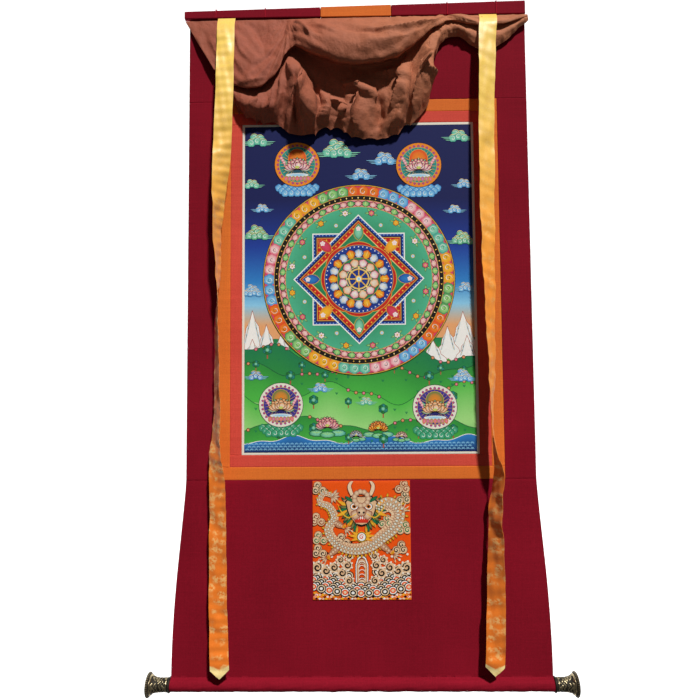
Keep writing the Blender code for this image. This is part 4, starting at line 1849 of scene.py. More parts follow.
    def heart(self) -> None:
        """Rings of petals round a gold wheel."""
        art, centre = self.art, self.middle
        art.patch(
            disc(centre, 0.066, 72), Ink.ROYAL, Ink.NAVY, line=Ink.GOLD, wide=0.0010, rise=1.0
        )
        for place in ring_places(centre, 0.0625, 48):
            art.patch(disc(place, 0.0013, 7), Ink.WHITE)
        art.up()
        self.petal_ring(0.059, 0.020, 20, ((Ink.SCARLET, Ink.YELLOW), (Ink.AZURE, Ink.WHITE)))
        art.patch(
            disc(centre, 0.0415, 48), Ink.EMERALD, Ink.FIELD, line=Ink.GOLD, wide=0.0008, rise=1.0
        )
        self.petal_ring(
            0.0400, 0.0185, 12, ((Ink.ROSE, Ink.WHITE), (Ink.ORANGE, Ink.CREAM)), 1.2, 0.04
        )
        art.patch(
            disc(centre, 0.0235, 40), Ink.NAVY, Ink.ROYAL, line=Ink.PALE_GOLD, wide=0.0012, rise=1.0
        )
        for place in ring_places(centre, 0.0185, 8):
            art.stroke(np.linspace(centre, place, 4), 0.0022, Ink.GOLD, gold=0.9)
        art.up()
        art.circle(centre, 0.0205, 0.0030, Ink.PALE_GOLD, Ink.GOLD)
        art.up()
        for place in ring_places(centre, 0.0218, 8):
            art.patch(disc(place, 0.0019, 9), Ink.PALE_GOLD, Ink.GOLD, gold=0.9)
        art.patch(disc(centre, 0.0068, 20), Ink.GOLD, Ink.PALE_GOLD, gold=0.9, rise=1.0)
        art.patch(disc(centre, 0.0040, 16), Ink.WHITE, Ink.SKY)


# ------------------------------------------------------------------ the brocade square


@dataclass
class DragonSquare:
    """A brocade square sewn on the foot: a dragon with its pearl above rocks and waves."""

    foot: MountCloth
    width: float = 0.183
    height: float = 0.219
    centre: float = 0.001
    top: float = 0.925
    gap: float = 0.0005
    thickness: float = 0.0012
    art: Picture = field(default_factory=lambda: Picture(0.0908 + 0.1088j, step=0.000018))

    def surface(self, across: Grid, drop: Grid) -> Grid:
        """How far out the square's front lies."""
        return self.foot.flute(across, drop) + self.gap + self.thickness

    def build(self) -> bpy.types.Object:
        """Adds the square and its raised threads.

        Returns:
            The square.
        """
        half = self.width / 2
        x = np.linspace(self.centre - half, self.centre + half, 62)
        drop = np.linspace(self.top, self.top + self.height, 74)
        x, drop = np.meshgrid(x, drop)
        out = self.surface(x, drop)
        front = to_world(np.stack([x, out, drop], axis=-1))
        back = front + np.array((0.0, self.thickness, 0.0))
        edges = (x - x.min(), x.max() - x, drop - drop.min(), drop.max() - drop)
        near = np.minimum.reduce(edges)
        front[..., 1] += 0.0005 * np.clip(1 - near / 0.0012, 0, 1) ** 2
        front[..., 1] -= 0.00022 * np.exp(-near / 0.005) * ripple(x + drop, 0.009, 90)
        paint = np.tile(Ink.GROUND.colour, (*x.shape, 1))
        plain = np.zeros(x.shape)
        layers = {"paint": (paint, paint), "gold": (plain, plain)}
        square = add_sheet("door", front, back, Finish.BROCADE, layers)
        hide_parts("door")
        self.waves()
        self.clouds()
        self.body()
        self.feet()
        self.head()
        self.pearl()
        middle = (self.centre, self.top + self.height / 2)
        threads = self.art.build("door_pattern", Finish.BROCADE, middle, self.surface)
        self.height
        return square

    def waves(self) -> None:
        """Rows of rounded waves, breakers at the sides and a rock in the middle."""
        art = self.art
        half, low = art.limit.real, -art.limit.imag
        ripples = (Ink.ORANGE, Ink.IVORY, Ink.BLACK, Ink.YELLOW, Ink.WHITE)
        inks = (
            (Ink.BLACK, Ink.WHITE, Ink.GROUND, Ink.IVORY),
            (Ink.BLACK, Ink.IVORY, Ink.BLACK, Ink.WHITE),
        )
        for number, start in enumerate(np.arange(-half, half, 0.0060)):
            for row in range(4):
                middle = complex(start + 0.0030 * (row % 2), low + 0.0016 + 0.0036 * row)
                corners = middle + np.array([-0.0034, -0.0024j, 0.0034, 0.0024j])
                art.patch(corners, ripples[(number * 2 + row) % 5])
        art.up()
        for row in range(6, -1, -1):
            if row == 2:
                self.rock()
            places = np.arange(-half + 0.0074 * (row % 2), half, 0.0148)
            places = [place for place in places if row <= 2 or abs(place) > 0.024]
            for number, ring in product((0, 1), range(4)):
                for place in places[number::2]:
                    swell = 0.012 + 0.0062 * row + 0.012 * (place / half) ** 2
                    centre = complex(place, low + swell)
                    radius = (0.0094, 0.0076, 0.0056, 0.0030)[ring]
                    art.patch(disc(centre, radius, 14, 0.9), inks[(number + row) % 2][ring])
                art.up(0.5)
        art.up()
        for way in (-1, 1):
            for across, up, size in (
                (0.083, -0.050, 0.0115), (0.067, -0.056, 0.0105), (0.052, -0.050, 0.0100),
                (0.037, -0.060, 0.0100), (0.027, -0.046, 0.0095), (0.040, -0.036, 0.0080),
                (0.024, -0.029, 0.0080), (0.024, -0.074, 0.0090),
            ):
                self.breaker(complex(way * across, up), size, way)
            for across, up in ((0.085, -0.026), (0.070, -0.036), (0.056, -0.030), (0.048, -0.022)):
                art.patch(disc(complex(way * across, up), 0.0024, 9), Ink.IVORY, Ink.WHITE)

    def rock(self) -> None:
        """The layered rock that stands in the waves."""
        art = self.art
        rock = np.array([-0.011 - 0.094j, 0.011 - 0.094j, 0.0115 - 0.045j, 0.007 - 0.032j, -0.029j])
        rock = np.append(rock, [-0.007 - 0.032j, -0.0115 - 0.045j])
        for share, ink in (
            (1.10, Ink.BLACK), (1.02, Ink.WHITE), (0.86, Ink.SHADE), (0.78, Ink.SAND),
            (0.58, Ink.IVORY), (0.44, Ink.SHADE), (0.36, Ink.GROUND),
        ):
            art.patch(rock.mean() + (rock - rock.mean()) * share, ink, rise=0.4)
        for number in range(6):
            place = -0.078j + 0.0078j * number
            arc = place + 0.0062 * np.exp(1j * np.linspace(0.2, math.pi - 0.2, 8))
            art.stroke(arc, 0.0017, Ink.SHADE, True)
            art.stroke(arc + 0.0022j, 0.0012, Ink.WHITE, True)
        art.up()

    def breaker(self, centre: complex, size: float, way: int) -> None:
        """A curling wave.

        Args:
            centre: Its middle.
            size: Its radius.
            way: The side it curls to.
        """
        art = self.art
        art.patch(lobed(centre, size * 1.06, 7, 0.16, 4), Ink.SHADE, rise=0.5)
        art.patch(lobed(centre, size, 7, 0.16, 4), Ink.IVORY, Ink.SAND, rise=0.5)
        line = curl(centre, size * 0.72, 1.3 * way, 0.25, 14)
        art.stroke(line, size * 0.30, Ink.BLACK, True, rise=0.3)
        for place in ring_places(centre, size * 0.98, 7, 0.07):
            art.patch(disc(place, size * 0.20, 8), Ink.IVORY, Ink.WHITE)
        art.up(0.5)

    def clouds(self) -> None:
        """Scrolled clouds at both sides."""
        art = self.art
        for across, up, way, tail in (
            (-0.079, 0.004, -1, Ink.EMERALD), (-0.080, -0.020, -1, Ink.BLACK),
            (0.080, 0.022, 1, Ink.EMERALD), (0.072, -0.014, 1, Ink.BLACK),
            (0.080, 0.078, 1, Ink.PINE),
            (-0.080, 0.096, -1, Ink.PINE), (-0.083, 0.038, -1, Ink.SHADE),
            (0.078, 0.098, 1, Ink.SHADE),
            (0.046, 0.034, 1, Ink.EMERALD), (-0.036, 0.000, -1, Ink.BLACK),
        ):
            centre = complex(across, up)
            with art.apart():
                swirl = petal(centre, centre - 0.020 * way - 0.004j, 0.006, 0.3, 6)
                art.patch(swirl, tail, tail, rise=0.4)
                for shift in (
                    -0.0062 * way - 0.0035j,
                    0.0015 * way + 0.0045j,
                    0.0045 * way - 0.003j,
                ):
                    place = centre + shift * 1.25
                    art.patch(disc(place, 0.0078, 16), Ink.BLACK, rise=0.3)
                    art.patch(disc(place, 0.0071, 16), Ink.SAND, Ink.IVORY, rise=0.3)
                    line = curl(place, 0.0054, 1.2 * way, 0.1, 12)
                    art.stroke(line, 0.0022, tail, True, rise=0.3)

    def spine(self) -> Points:
        """The line down the middle of the dragon's body.

        Returns:
            Evenly spaced points from its neck to its tail.
        """
        turns = np.array(
            [
                (0.026, 0.052), (0.050, 0.066), (0.068, 0.052), (0.062, 0.028), (0.040, 0.008),
                (0.012, -0.012), (-0.020, -0.016), (-0.048, -0.004), (-0.062, 0.020),
                (-0.050, 0.040), (-0.060, 0.062), (-0.078, 0.070), (-0.070, 0.086), (-0.054, 0.082),
            ]
        )
        fine = smooth_along(turns, 24)
        line = fine[:, 0] + 1j * fine[:, 1]
        length = np.concatenate([[0], np.cumsum(np.abs(np.diff(line)))])
        even = np.linspace(0, length[-1], 112)
        return np.interp(even, length, line.real) + 1j * np.interp(even, length, line.imag)

    def body(self) -> None:
        """The winding body: fins, then scales in rows, then the belly's plates."""
        art, line = self.art, self.spine()
        run = np.gradient(line)
        run = run / np.abs(run)
        count = len(line)
        along = np.linspace(0, 1, count)
        half = 0.0132 * (1 - 0.70 * along**1.5) * np.minimum(1, 0.75 + along * 4)
        with art.apart():
            for number in range(1, count - 1, 2):
                root = line[number] + 1j * run[number] * half[number] * 0.9
                tip = root + 1j * run[number] * half[number] * 0.75 + run[number] * 0.0025
                art.patch(petal(root, tip, 0.0048, 0.4, 4), Ink.SHADE, Ink.YELLOW)
        art.up()
        for share, ink in ((1.08, Ink.SHADE), (1.0, Ink.SAND)):
            side = 1j * run * half * share
            art.strip(line + side, line - side, ink.colour, ink.colour)
            art.up(0.5)
        for number in range(count - 2, 0, -1):
            for lane, place in enumerate((0.72, 0.36, 0.0, -0.36)):
                if (number + lane) % 2:
                    continue
                root = line[number] + 1j * run[number] * half[number] * place
                tip = root + run[number] * 0.0052
                inks = (Ink.SHADE, Ink.IVORY) if lane % 2 else (Ink.OLIVE, Ink.WHITE)
                shape = petal(root, tip, 0.62 * half[number], 0.5, 4)
                art.patch(shape, *inks, root + run[number] * 0.0024, dome=0.00025)
            art.up(0.02)
        for number in range(1, count - 1, 2):
            root = line[number] - 1j * run[number] * half[number] * 0.55
            end = line[number] - 1j * run[number] * half[number] * 1.02
            art.stroke(np.array([root, (root + end) / 2, end]), 0.0021, Ink.IVORY)
        art.up()
        tail = line[-1]
        for lean in np.linspace(-1.3, 1.3, 6):
            tip = tail + 0.015 * run[-1] * complex(math.cos(lean), math.sin(lean))
            art.patch(petal(tail, tip, 0.0050, 0.5, 5), Ink.SHADE, Ink.IVORY, rise=0.2)

    def feet(self) -> None:
        """Four legs with claws."""
        art = self.art
        legs = (
            (0.064, 0.040, 0.076, 0.054, 0.9), (0.030, -0.004, 0.060, -0.026, -0.5),
            (-0.040, -0.010, -0.066, -0.032, -2.6), (-0.052, 0.034, -0.030, 0.022, -0.6),
        )
        for x0, y0, x1, y1, angle in legs:
            hip, foot = complex(x0, y0), complex(x1, y1)
            with art.apart():
                art.patch(petal(hip, foot, 0.013, 0.35, 7), Ink.SHADE, Ink.SAND, rise=0.6)
                for k in range(5):
                    place = hip + (foot - hip) * (0.2 + 0.16 * k)
                    art.patch(lobed(place, 0.0035, 5, 0.2, 3), Ink.SHADE, Ink.IVORY, rise=0.1)
                for lean in (-0.9, -0.35, 0.2, 0.75):
                    way = complex(math.cos(angle + lean), math.sin(angle + lean))
                    art.patch(
                        petal(foot, foot + 0.0125 * way, 0.0040, 0.35, 5), Ink.SHADE, Ink.IVORY
                    )
                    art.up(0.2)
                    tip = foot + 0.0160 * way
                    art.patch(
                        petal(foot + 0.0100 * way, tip, 0.0022, 0.3, 4), Ink.WHITE, Ink.YELLOW
                    )
                for k in range(4):
                    way = complex(math.cos(angle + 2.2 + 0.4 * k), math.sin(angle + 2.2 + 0.4 * k))
                    art.patch(
                        petal(foot, foot + 0.009 * way, 0.0026, 0.5, 4), Ink.GROUND, Ink.YELLOW
                    )

    def head(self) -> None:
        """The face from in front, with its mane, horns, brows, eyes, jaws and whiskers."""
        art = self.art
        centre = 0.064j
        art.to_top()
        art.zoom, art.about = 1.24, 0.084j
        for way in (-1, 1):
            for k in range(9):
                lean = 0.25 + 0.30 * k
                start = centre + complex(way * 0.013, -0.002)
                reach = 0.026 + 0.004 * math.sin(k * 2.1)
                tip = start + reach * complex(way * math.sin(lean + 0.5), math.cos(lean + 0.5))
                ink = (Ink.PINE, Ink.ORANGE, Ink.BLACK)[k % 3]
                core = (Ink.EMERALD, Ink.YELLOW, Ink.OLIVE)[k % 3]
                art.patch(petal(start, tip, 0.0062, 0.45, 6), ink, core, rise=0.15)
            horn = np.array([0.008 + 0.012j, 0.015 + 0.022j, 0.018 + 0.033j, 0.013 + 0.041j])
            horn = centre + horn
            horn = centre + (horn - centre).real * way + 1j * (horn - centre).imag
            fine = smooth_along(np.stack([horn.real, horn.imag], axis=-1), 5)
            curve = fine[:, 0] + 1j * fine[:, 1]
            art.stroke(curve, 0.0072, Ink.SHADE, True, rise=0.3)
            art.stroke(curve, 0.0052, Ink.IVORY, True, rise=0.3)
            ear = centre + complex(way * 0.017, 0.008)
            art.patch(
                petal(ear, ear + complex(way * 0.011, 0.004), 0.006, 0.5, 5), Ink.SHADE, Ink.SAND
            )
            art.up(0.2)
        right = np.array([0.016j, 0.014 + 0.017j, 0.023 + 0.009j, 0.020 - 0.004j, 0.016 - 0.014j])
        right = np.append(right, [0.008 - 0.023j])
        face = np.concatenate([right, [-0.025j], -right[:0:-1].conjugate()])
        for share, ink, core in ((1.09, Ink.BLACK, None), (1.0, Ink.SAND, Ink.IVORY)):
            art.patch(centre + face * share, ink, core, rise=0.5)
        for place in ring_places(centre + 0.014j, 0.0105, 11, 0.0):
            art.patch(lobed(place, 0.0046, 5, 0.2, 3), Ink.SHADE, Ink.IVORY, dome=0.0002, rise=0.08)
        mouth = np.array([-0.014 - 0.012j, 0.014 - 0.012j, 0.009 - 0.022j, -0.009 - 0.022j])
        mouth = centre + mouth
        art.patch(mouth, Ink.RED, Ink.SCARLET, rise=0.5)
        for place in np.linspace(-0.011, 0.011, 8):
            tooth = centre + complex(place, -0.012)
            art.patch(petal(tooth, tooth - 0.0052j, 0.0026, 0.4, 3), Ink.WHITE)
        art.up(0.3)
        manes = (
            (Ink.BLACK, Ink.OLIVE),
            (Ink.PINE, Ink.EMERALD),
            (Ink.SHADE, Ink.YELLOW),
        )
        for way in (-1, 1):
            for k in range(3):
                brow = centre + complex(way * (0.006 + 0.004 * k), 0.0075 + 0.001 * k)
                tip = brow + complex(way * 0.011, 0.0045 + 0.002 * k)
                art.patch(petal(brow, tip, 0.0052, 0.5, 5), Ink.PINE, Ink.EMERALD, rise=0.1)
            eye = centre + complex(way * 0.0108, 0.0022)
            for radius, ink in ((0.0064, Ink.BLACK), (0.0055, Ink.WHITE), (0.0036, Ink.ORANGE)):
                art.patch(disc(eye, radius, 14, 0.85), ink, rise=0.2)
            art.patch(disc(eye, 0.0022, 9), Ink.BLACK, rise=0.2)
            lip = centre + complex(way * 0.0092, -0.0100)
            art.patch(lobed(lip, 0.0080, 6, 0.16, 4), Ink.SHADE, Ink.IVORY, rise=0.3)
            for k in range(6):
                start = centre + complex(way * (0.017 - 0.0022 * k), -0.012 - 0.0026 * k)
                tip = start + complex(way * (0.011 - 0.0018 * k), -0.008 - 0.0016 * k)
                ink, core = manes[k % 3]
                art.patch(petal(start, tip, 0.0042, 0.5, 5), ink, core, rise=0.1)
        art.patch(lobed(centre - 0.0052j, 0.0082, 5, 0.22, 5), Ink.SHADE, Ink.IVORY, rise=0.4)
        for way in (-1, 1):
            art.patch(disc(centre + complex(way * 0.0034, -0.0068), 0.0017, 9), Ink.BLACK)
        art.stroke(
            centre + np.array([-0.0045 + 0.003j, 0.0055j, 0.0045 + 0.003j]), 0.0014, Ink.SHADE
        )
        art.up(0.4)
        for way in (-1, 1):
            line = np.array([0.007 - 0.008j, 0.020 - 0.014j, 0.030 - 0.006j, 0.036 + 0.006j])
            line = centre + line
            line = (line - centre).real * way + centre + 1j * (line - centre).imag
            fine = smooth_along(np.stack([line.real, line.imag], axis=-1), 6)
            art.stroke(fine[:, 0] + 1j * fine[:, 1], 0.0016, Ink.YELLOW, True)
        art.up()
        art.zoom = 1.0

    def pearl(self) -> None:
        """The flaming pearl under the head."""
        art = self.art
        centre = 0.006j
        for k, lean in enumerate((-1.9, -1.45, -1.1, 1.1, 1.45, 1.9)):
            tip = centre + (0.022 + 0.004 * (k % 3 == 1)) * complex(math.sin(lean), math.cos(lean))
            art.patch(petal(centre, tip, 0.0062, 0.4, 6), Ink.ORANGE, Ink.YELLOW, rise=0.2)
        for radius, ink in ((0.0098, Ink.YELLOW), (0.0088, Ink.BLACK), (0.0074, Ink.WHITE)):
            art.patch(disc(centre, radius, 22), ink, rise=0.3)
        art.stroke(curl(centre, 0.0048, 1.2, 0.1, 12), 0.0018, Ink.SCARLET, True)


# ------------------------------------------------------------------ the veil


@dataclass(frozen=True)
class Fold:
    """One column of the veil, from its seam to its hem, in millimetres."""

    across: float
    lean: float
    seam_drop: float
    belly_drop: float
    belly_out: float
    lip_drop: float
    lip_out: float
    tuck_out: float
    roll_drop: float
    roll_out: float
    hem_drop: float


@dataclass(frozen=True)
class Crease:
    """A fold's crest from one place to another, in millimetres; a negative rise makes a hollow."""

    across: float
    drop: float
    to_across: float
    to_drop: float
    width: float
    rise: float
    bend: float = 0.0

    def height(self, x: Grid, drop: Grid) -> Grid:
        """How far the crease lifts the cloth.

        Args:
            x: Places across the cloth.
            drop: Places down the cloth.

        Returns:
            The lift at each place: steep on the crest's shaded side and easy on its other side.
        """
        start = complex(self.across, self.drop) / 1000
        run = complex(self.to_across, self.to_drop) / 1000 - start
        width = self.width / 1000
        spot = (x + 1j * drop - start) / run
        share = np.clip(spot.real, 0, 1)
        aside = (spot.imag + 4 * self.bend * share * (1 - share)) * abs(run)
        beyond = (spot.real - share) * abs(run)
        steep = np.where(aside > 0, 0.55, 1.35) * width
        ends = step_up(share, -0.20, 0.45) * (1 - 0.6 * step_up(share, 0.7, 1.0))
        far = np.sqrt((aside / steep) ** 2 + (beyond / width) ** 2)
        return self.rise / 1000 * ends * np.exp(-(far**1.3))


@dataclass
class DustCover:
    """The silk veil, gathered up in swags between pinched folds."""

    folds: tuple[Fold, ...] = (
        Fold(-338, 106, 26.5, 70, 9, 130, 14, 11, 176, 13, 211),
        Fold(-300, 70, 26.2, 75, 13, 150, 18, 11, 182, 18, 212),
        Fold(-259, 31, 26, 85, 19, 165, 25, 10, 192, 23, 213),
        Fold(-220, 20, 26, 100, 26, 176, 34, 10, 206, 30, 232),
        Fold(-180, -4, 25.8, 105, 26, 172, 33, 11, 206, 28, 234),
        Fold(-150, -14, 25.8, 80, 17, 150, 28, 14, 200, 26, 236),
        Fold(-136, -6, 25.8, 60, 10, 112, 22, 17, 180, 26, 246),
        Fold(-127, 18, 25.6, 60, 22, 98, 34, 12, 182, 40, 262),
        Fold(-112, 22, 25.2, 66, 40, 106, 46, 10, 186, 40, 262),
        Fold(-84, 22, 25, 80, 53, 122, 52, 9, 200, 20, 248),
        Fold(-45, 14, 24.5, 92, 61, 138, 55, 10, 212, 18, 248),
        Fold(-3, -6, 24.2, 96, 64, 143, 57, 11, 210, 24, 262),
        Fold(40, -6, 24, 90, 63, 140, 57, 11, 200, 24, 266),
        Fold(78, -10, 24, 78, 56, 128, 52, 12, 190, 26, 262),
        Fold(108, -17, 23.8, 62, 43, 106, 44, 13, 178, 34, 246),
        Fold(128, -12, 23.6, 50, 30, 84, 35, 14, 164, 36, 232),
        Fold(142, -6, 23.6, 40, 21, 66, 27, 14, 140, 34, 205),
        Fold(162, -16, 23.6, 36, 15, 52, 20, 11, 88, 20, 130),
        Fold(178, -12, 23.6, 32, 12, 42, 18, 10, 58, 16, 78),
        Fold(193, 5, 23.6, 32, 14, 42, 19, 10, 54, 18, 68),
        Fold(220, 4, 23.6, 36, 16, 50, 21, 11, 66, 18, 86),
        Fold(250, 2, 23.6, 38, 15, 54, 21, 11, 74, 18, 96),
        Fold(291, -2, 23.6, 36, 13, 48, 18, 10, 62, 15, 78),
        Fold(318, 0, 23.6, 29, 10, 36, 13, 9, 43, 12, 50),
        Fold(333, 2, 23.6, 26, 8, 29, 9, 8, 32, 9, 37),
    )
    upper: tuple[Crease, ...] = (
        Crease(-132, 36, -152, 176, 6, 8, 0.03), Crease(-135, 50, -176, 176, 6.5, 7, 0.04),
        Crease(-140, 66, -200, 170, 7.5, 6, 0.07), Crease(-150, 88, -222, 160, 8, 4, 0.10),
        Crease(-262, 36, -212, 150, 13, 4, -0.06), Crease(-300, 34, -232, 158, 10, 4, -0.05),
        Crease(-325, 34, -252, 172, 8, 3, -0.03), Crease(-205, 36, -176, 110, 11, -6, 0.02),
        Crease(-236, 50, -200, 128, 6, 5, -0.12), Crease(-196, 128, -150, 70, 6, 5, -0.10),
        Crease(-232, 166, -176, 160, 6, 4, -0.05), Crease(-125, 26, -86, 96, 6, 9, 0.05),
        Crease(-106, 34, -66, 90, 8, -10, -0.06), Crease(-86, 34, -30, 88, 11, 7, -0.10),
        Crease(-52, 52, 64, 86, 11, -9, -0.10), Crease(-40, 36, 165, 27, 11, 5, -0.22),
        Crease(160, 30, 12, 74, 8, 7, 0.14), Crease(164, 34, 100, 60, 5, 5, 0.10),
        Crease(158, 36, 20, 108, 11, 6, 0.13), Crease(176, 24, 240, 50, 5.5, 4, -0.05),
        Crease(172, 26, 262, 36, 5, 3, -0.04), Crease(322, 30, 250, 50, 5, 4, 0.05),
    )
    lower: tuple[Crease, ...] = (
        Crease(-128, 80, -136, 236, 5.5, 14, 0.02), Crease(-136, 120, -162, 232, 5, 10, 0.03),
        Crease(-150, 150, -184, 226, 5, 8, 0.03), Crease(-182, 176, -216, 218, 6, 7, 0.05),
        Crease(-124, 120, -98, 262, 15, 26, 0.02), Crease(-104, 160, -84, 250, 7, 12, -0.04),
        Crease(-126, 160, -117, 256, 4, -11, 0.00), Crease(-100, 126, -74, 206, 9, -16, 0.05),
        Crease(-76, 166, -78, 246, 6, 12, 0.16), Crease(-58, 190, -24, 236, 8, 14, 0.14),
        Crease(-30, 166, 28, 196, 11, 22, 0.18), Crease(30, 150, 6, 252, 8, 18, -0.16),
        Crease(-20, 186, -4, 252, 7, 13, 0.14), Crease(36, 176, 36, 246, 6, -14, 0.05),
        Crease(30, 142, 92, 160, 10, 22, 0.16), Crease(66, 150, 46, 258, 7.5, 14, 0.10),
        Crease(96, 86, 74, 216, 5, 14, 0.06), Crease(88, 170, 62, 262, 6, 13, 0.09),
        Crease(118, 56, 106, 240, 7, 18, 0.06), Crease(105, 110, 94, 232, 4, -11, 0.03),
        Crease(152, 56, 128, 160, 10, 18, -0.14), Crease(124, 130, 138, 216, 8, 16, 0.18),
        Crease(128, 90, 118, 200, 4, -11, 0.04),
    )
    pinches: tuple[tuple[float, float], ...] = ((-0.134, 0.028), (0.150, 0.022), (0.190, 0.022))
    hem_out: float = 0.007
    across_steps: int = 13
    down_steps: int = 22
    thickness: float = 0.0007
    nearest: float = 0.0045
    farthest: float = 0.074

    def surface(self) -> tuple[Grid, Grid, Grid]:
        """The smooth folded shape, before its small creases.

        Returns:
            The grid of (x, out, drop), and each point's place along the seam and down the cloth.
        """
        rows = np.array([list(vars(fold).values()) for fold in self.folds]) / 1000
        columns = smooth_along(rows, self.across_steps).T
        across, lean, seam, belly, belly_out, lip, lip_out, tuck, roll, roll_out, hem = columns
        near_hem = self.hem_out + (roll_out - self.hem_out) * 0.6
        # The mesh's colour carries painted sheen and shade besides the ribbon's own colours.
        seam_out, hem_out = 0.004 + 0 * seam, self.hem_out + 0 * seam
        outs = [seam_out, belly_out, lip_out, tuck, roll_out, near_hem, hem_out]
        fall, below = lip - seam, hem - roll
        drops = [seam, belly, lip, lip - 0.12 * fall, roll, roll + 0.55 * below, hem]
        path = np.stack([np.stack(outs), np.stack(drops)], axis=-1)
        fine = smooth_along(path, self.down_steps)
        out, drop = fine[..., 0], fine[..., 1]
        x = across + lean * (drop - seam) / (hem - seam)
        down = np.linspace(0, 1, len(fine))[:, None] * np.ones_like(x)
        along = across[None, :] * np.ones_like(x)
        top = step_up(down, 0.01, 0.08) * (1 - step_up(down, 0.36, 0.46))
        for crease in self.upper:
            out = out + top * crease.height(x, drop)
        lift = np.zeros_like(out)
        for crease in self.lower:
            lift = lift + crease.height(x, drop)
        lift = lift * step_up(down, 0.50, 0.62) * (1 - 0.5 * step_up(down, 0.85, 1.0))
        out = out + lift
        x = x + 0.9 * lift * ripple(along + 0.2 * drop, 0.030, 67)
        ragged = step_up(down, 0.80, 1.0) * step_up(hem - seam, 0.06, 0.16)
        drop = drop + ragged * (0.006 * self.sharpened(ripple(along, 0.050, 71)) + 0.3 * lift)
        return np.stack([x, out, drop], axis=-1), along, down

    def creases(self, grid: Grid, along: Grid, down: Grid) -> Grid:
        """How far the cloth is creased out of its smooth shape.

        Args:
            grid: The smooth shape.
            along: Each point's place along the seam.
            down: Its share of the way down the cloth.

        Returns:
            The distance, along the cloth's own normal.
        """
        x, drop = grid[..., 0], grid[..., 2]
        height = 0.0005 * ripple(along, 0.012, 41) * np.exp(-down / 0.05)
        for number, (side, top) in enumerate(self.pinches):
            reach = np.hypot(x - side, drop - top)
            angle = np.arctan2(x - side, np.maximum(drop - top, -0.01) + 0.004)
            fan = self.sharpened(ripple(angle * 0.1, 0.040, 50 + number)) * np.exp(-reach / 0.045)
            height += 0.0022 * fan * step_up(reach, 0.006, 0.035)
        belly = np.sin(np.clip(down / 0.36, 0, 1) * math.pi) * step_up(0.16 - along, 0.0, 0.05)
        swag = ripple(down + 4.5 * (along - 0.02) ** 2, 0.085, 61)
        height += 0.0014 * belly * swag * (0.6 + 0.6 * ripple(along, 0.12, 62))
        lower = step_up(down, 0.50, 0.70)
        height += 0.0010 * lower * self.sharpened(lumps(x + 0.3 * drop, 0.6 * drop, 0.022, 63))
        height += 0.0012 * lumps(x, drop, 0.045, 65) + 0.0003 * lumps(x, drop, 0.014, 64)
        return height * step_up(down, -0.01, 0.03)

    @staticmethod
    def sharpened(wave: Grid) -> Grid:
        """Makes a wave's crests narrow and its hollows wide, as creases in silk are."""
        return 1.0 - 1.8 * np.abs(np.tanh(wave * 0.9)) ** 0.8

    def build(self) -> bpy.types.Object:
        """Adds the veil.

        Returns:
            The piece.
        """
        grid, along, down = self.surface()
        centre = to_world(grid)
        centre += facing(centre) * self.creases(grid, along, down)[..., None]
        out = -centre[..., 1]
        low = self.nearest * step_up(down, 0.0, 0.05)
        out = low + np.where(out > low, out - low, 0.15 * (out - low))
        centre[..., 1] = -np.clip(out, 0.003, self.farthest)
        normal = facing(centre)
        front = centre + normal * self.thickness / 2
        back = centre - normal * self.thickness / 2
        piece = add_sheet("dust_cover", front, back, Finish.VEIL)
        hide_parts("dust_cover")
        return piece


# ------------------------------------------------------------------ the ribbons


@dataclass(frozen=True)
class Station:
    """A place along a ribbon in millimetres, and its turn about its length in degrees."""

    drop: float
    across: float
    out: float
    turn: float


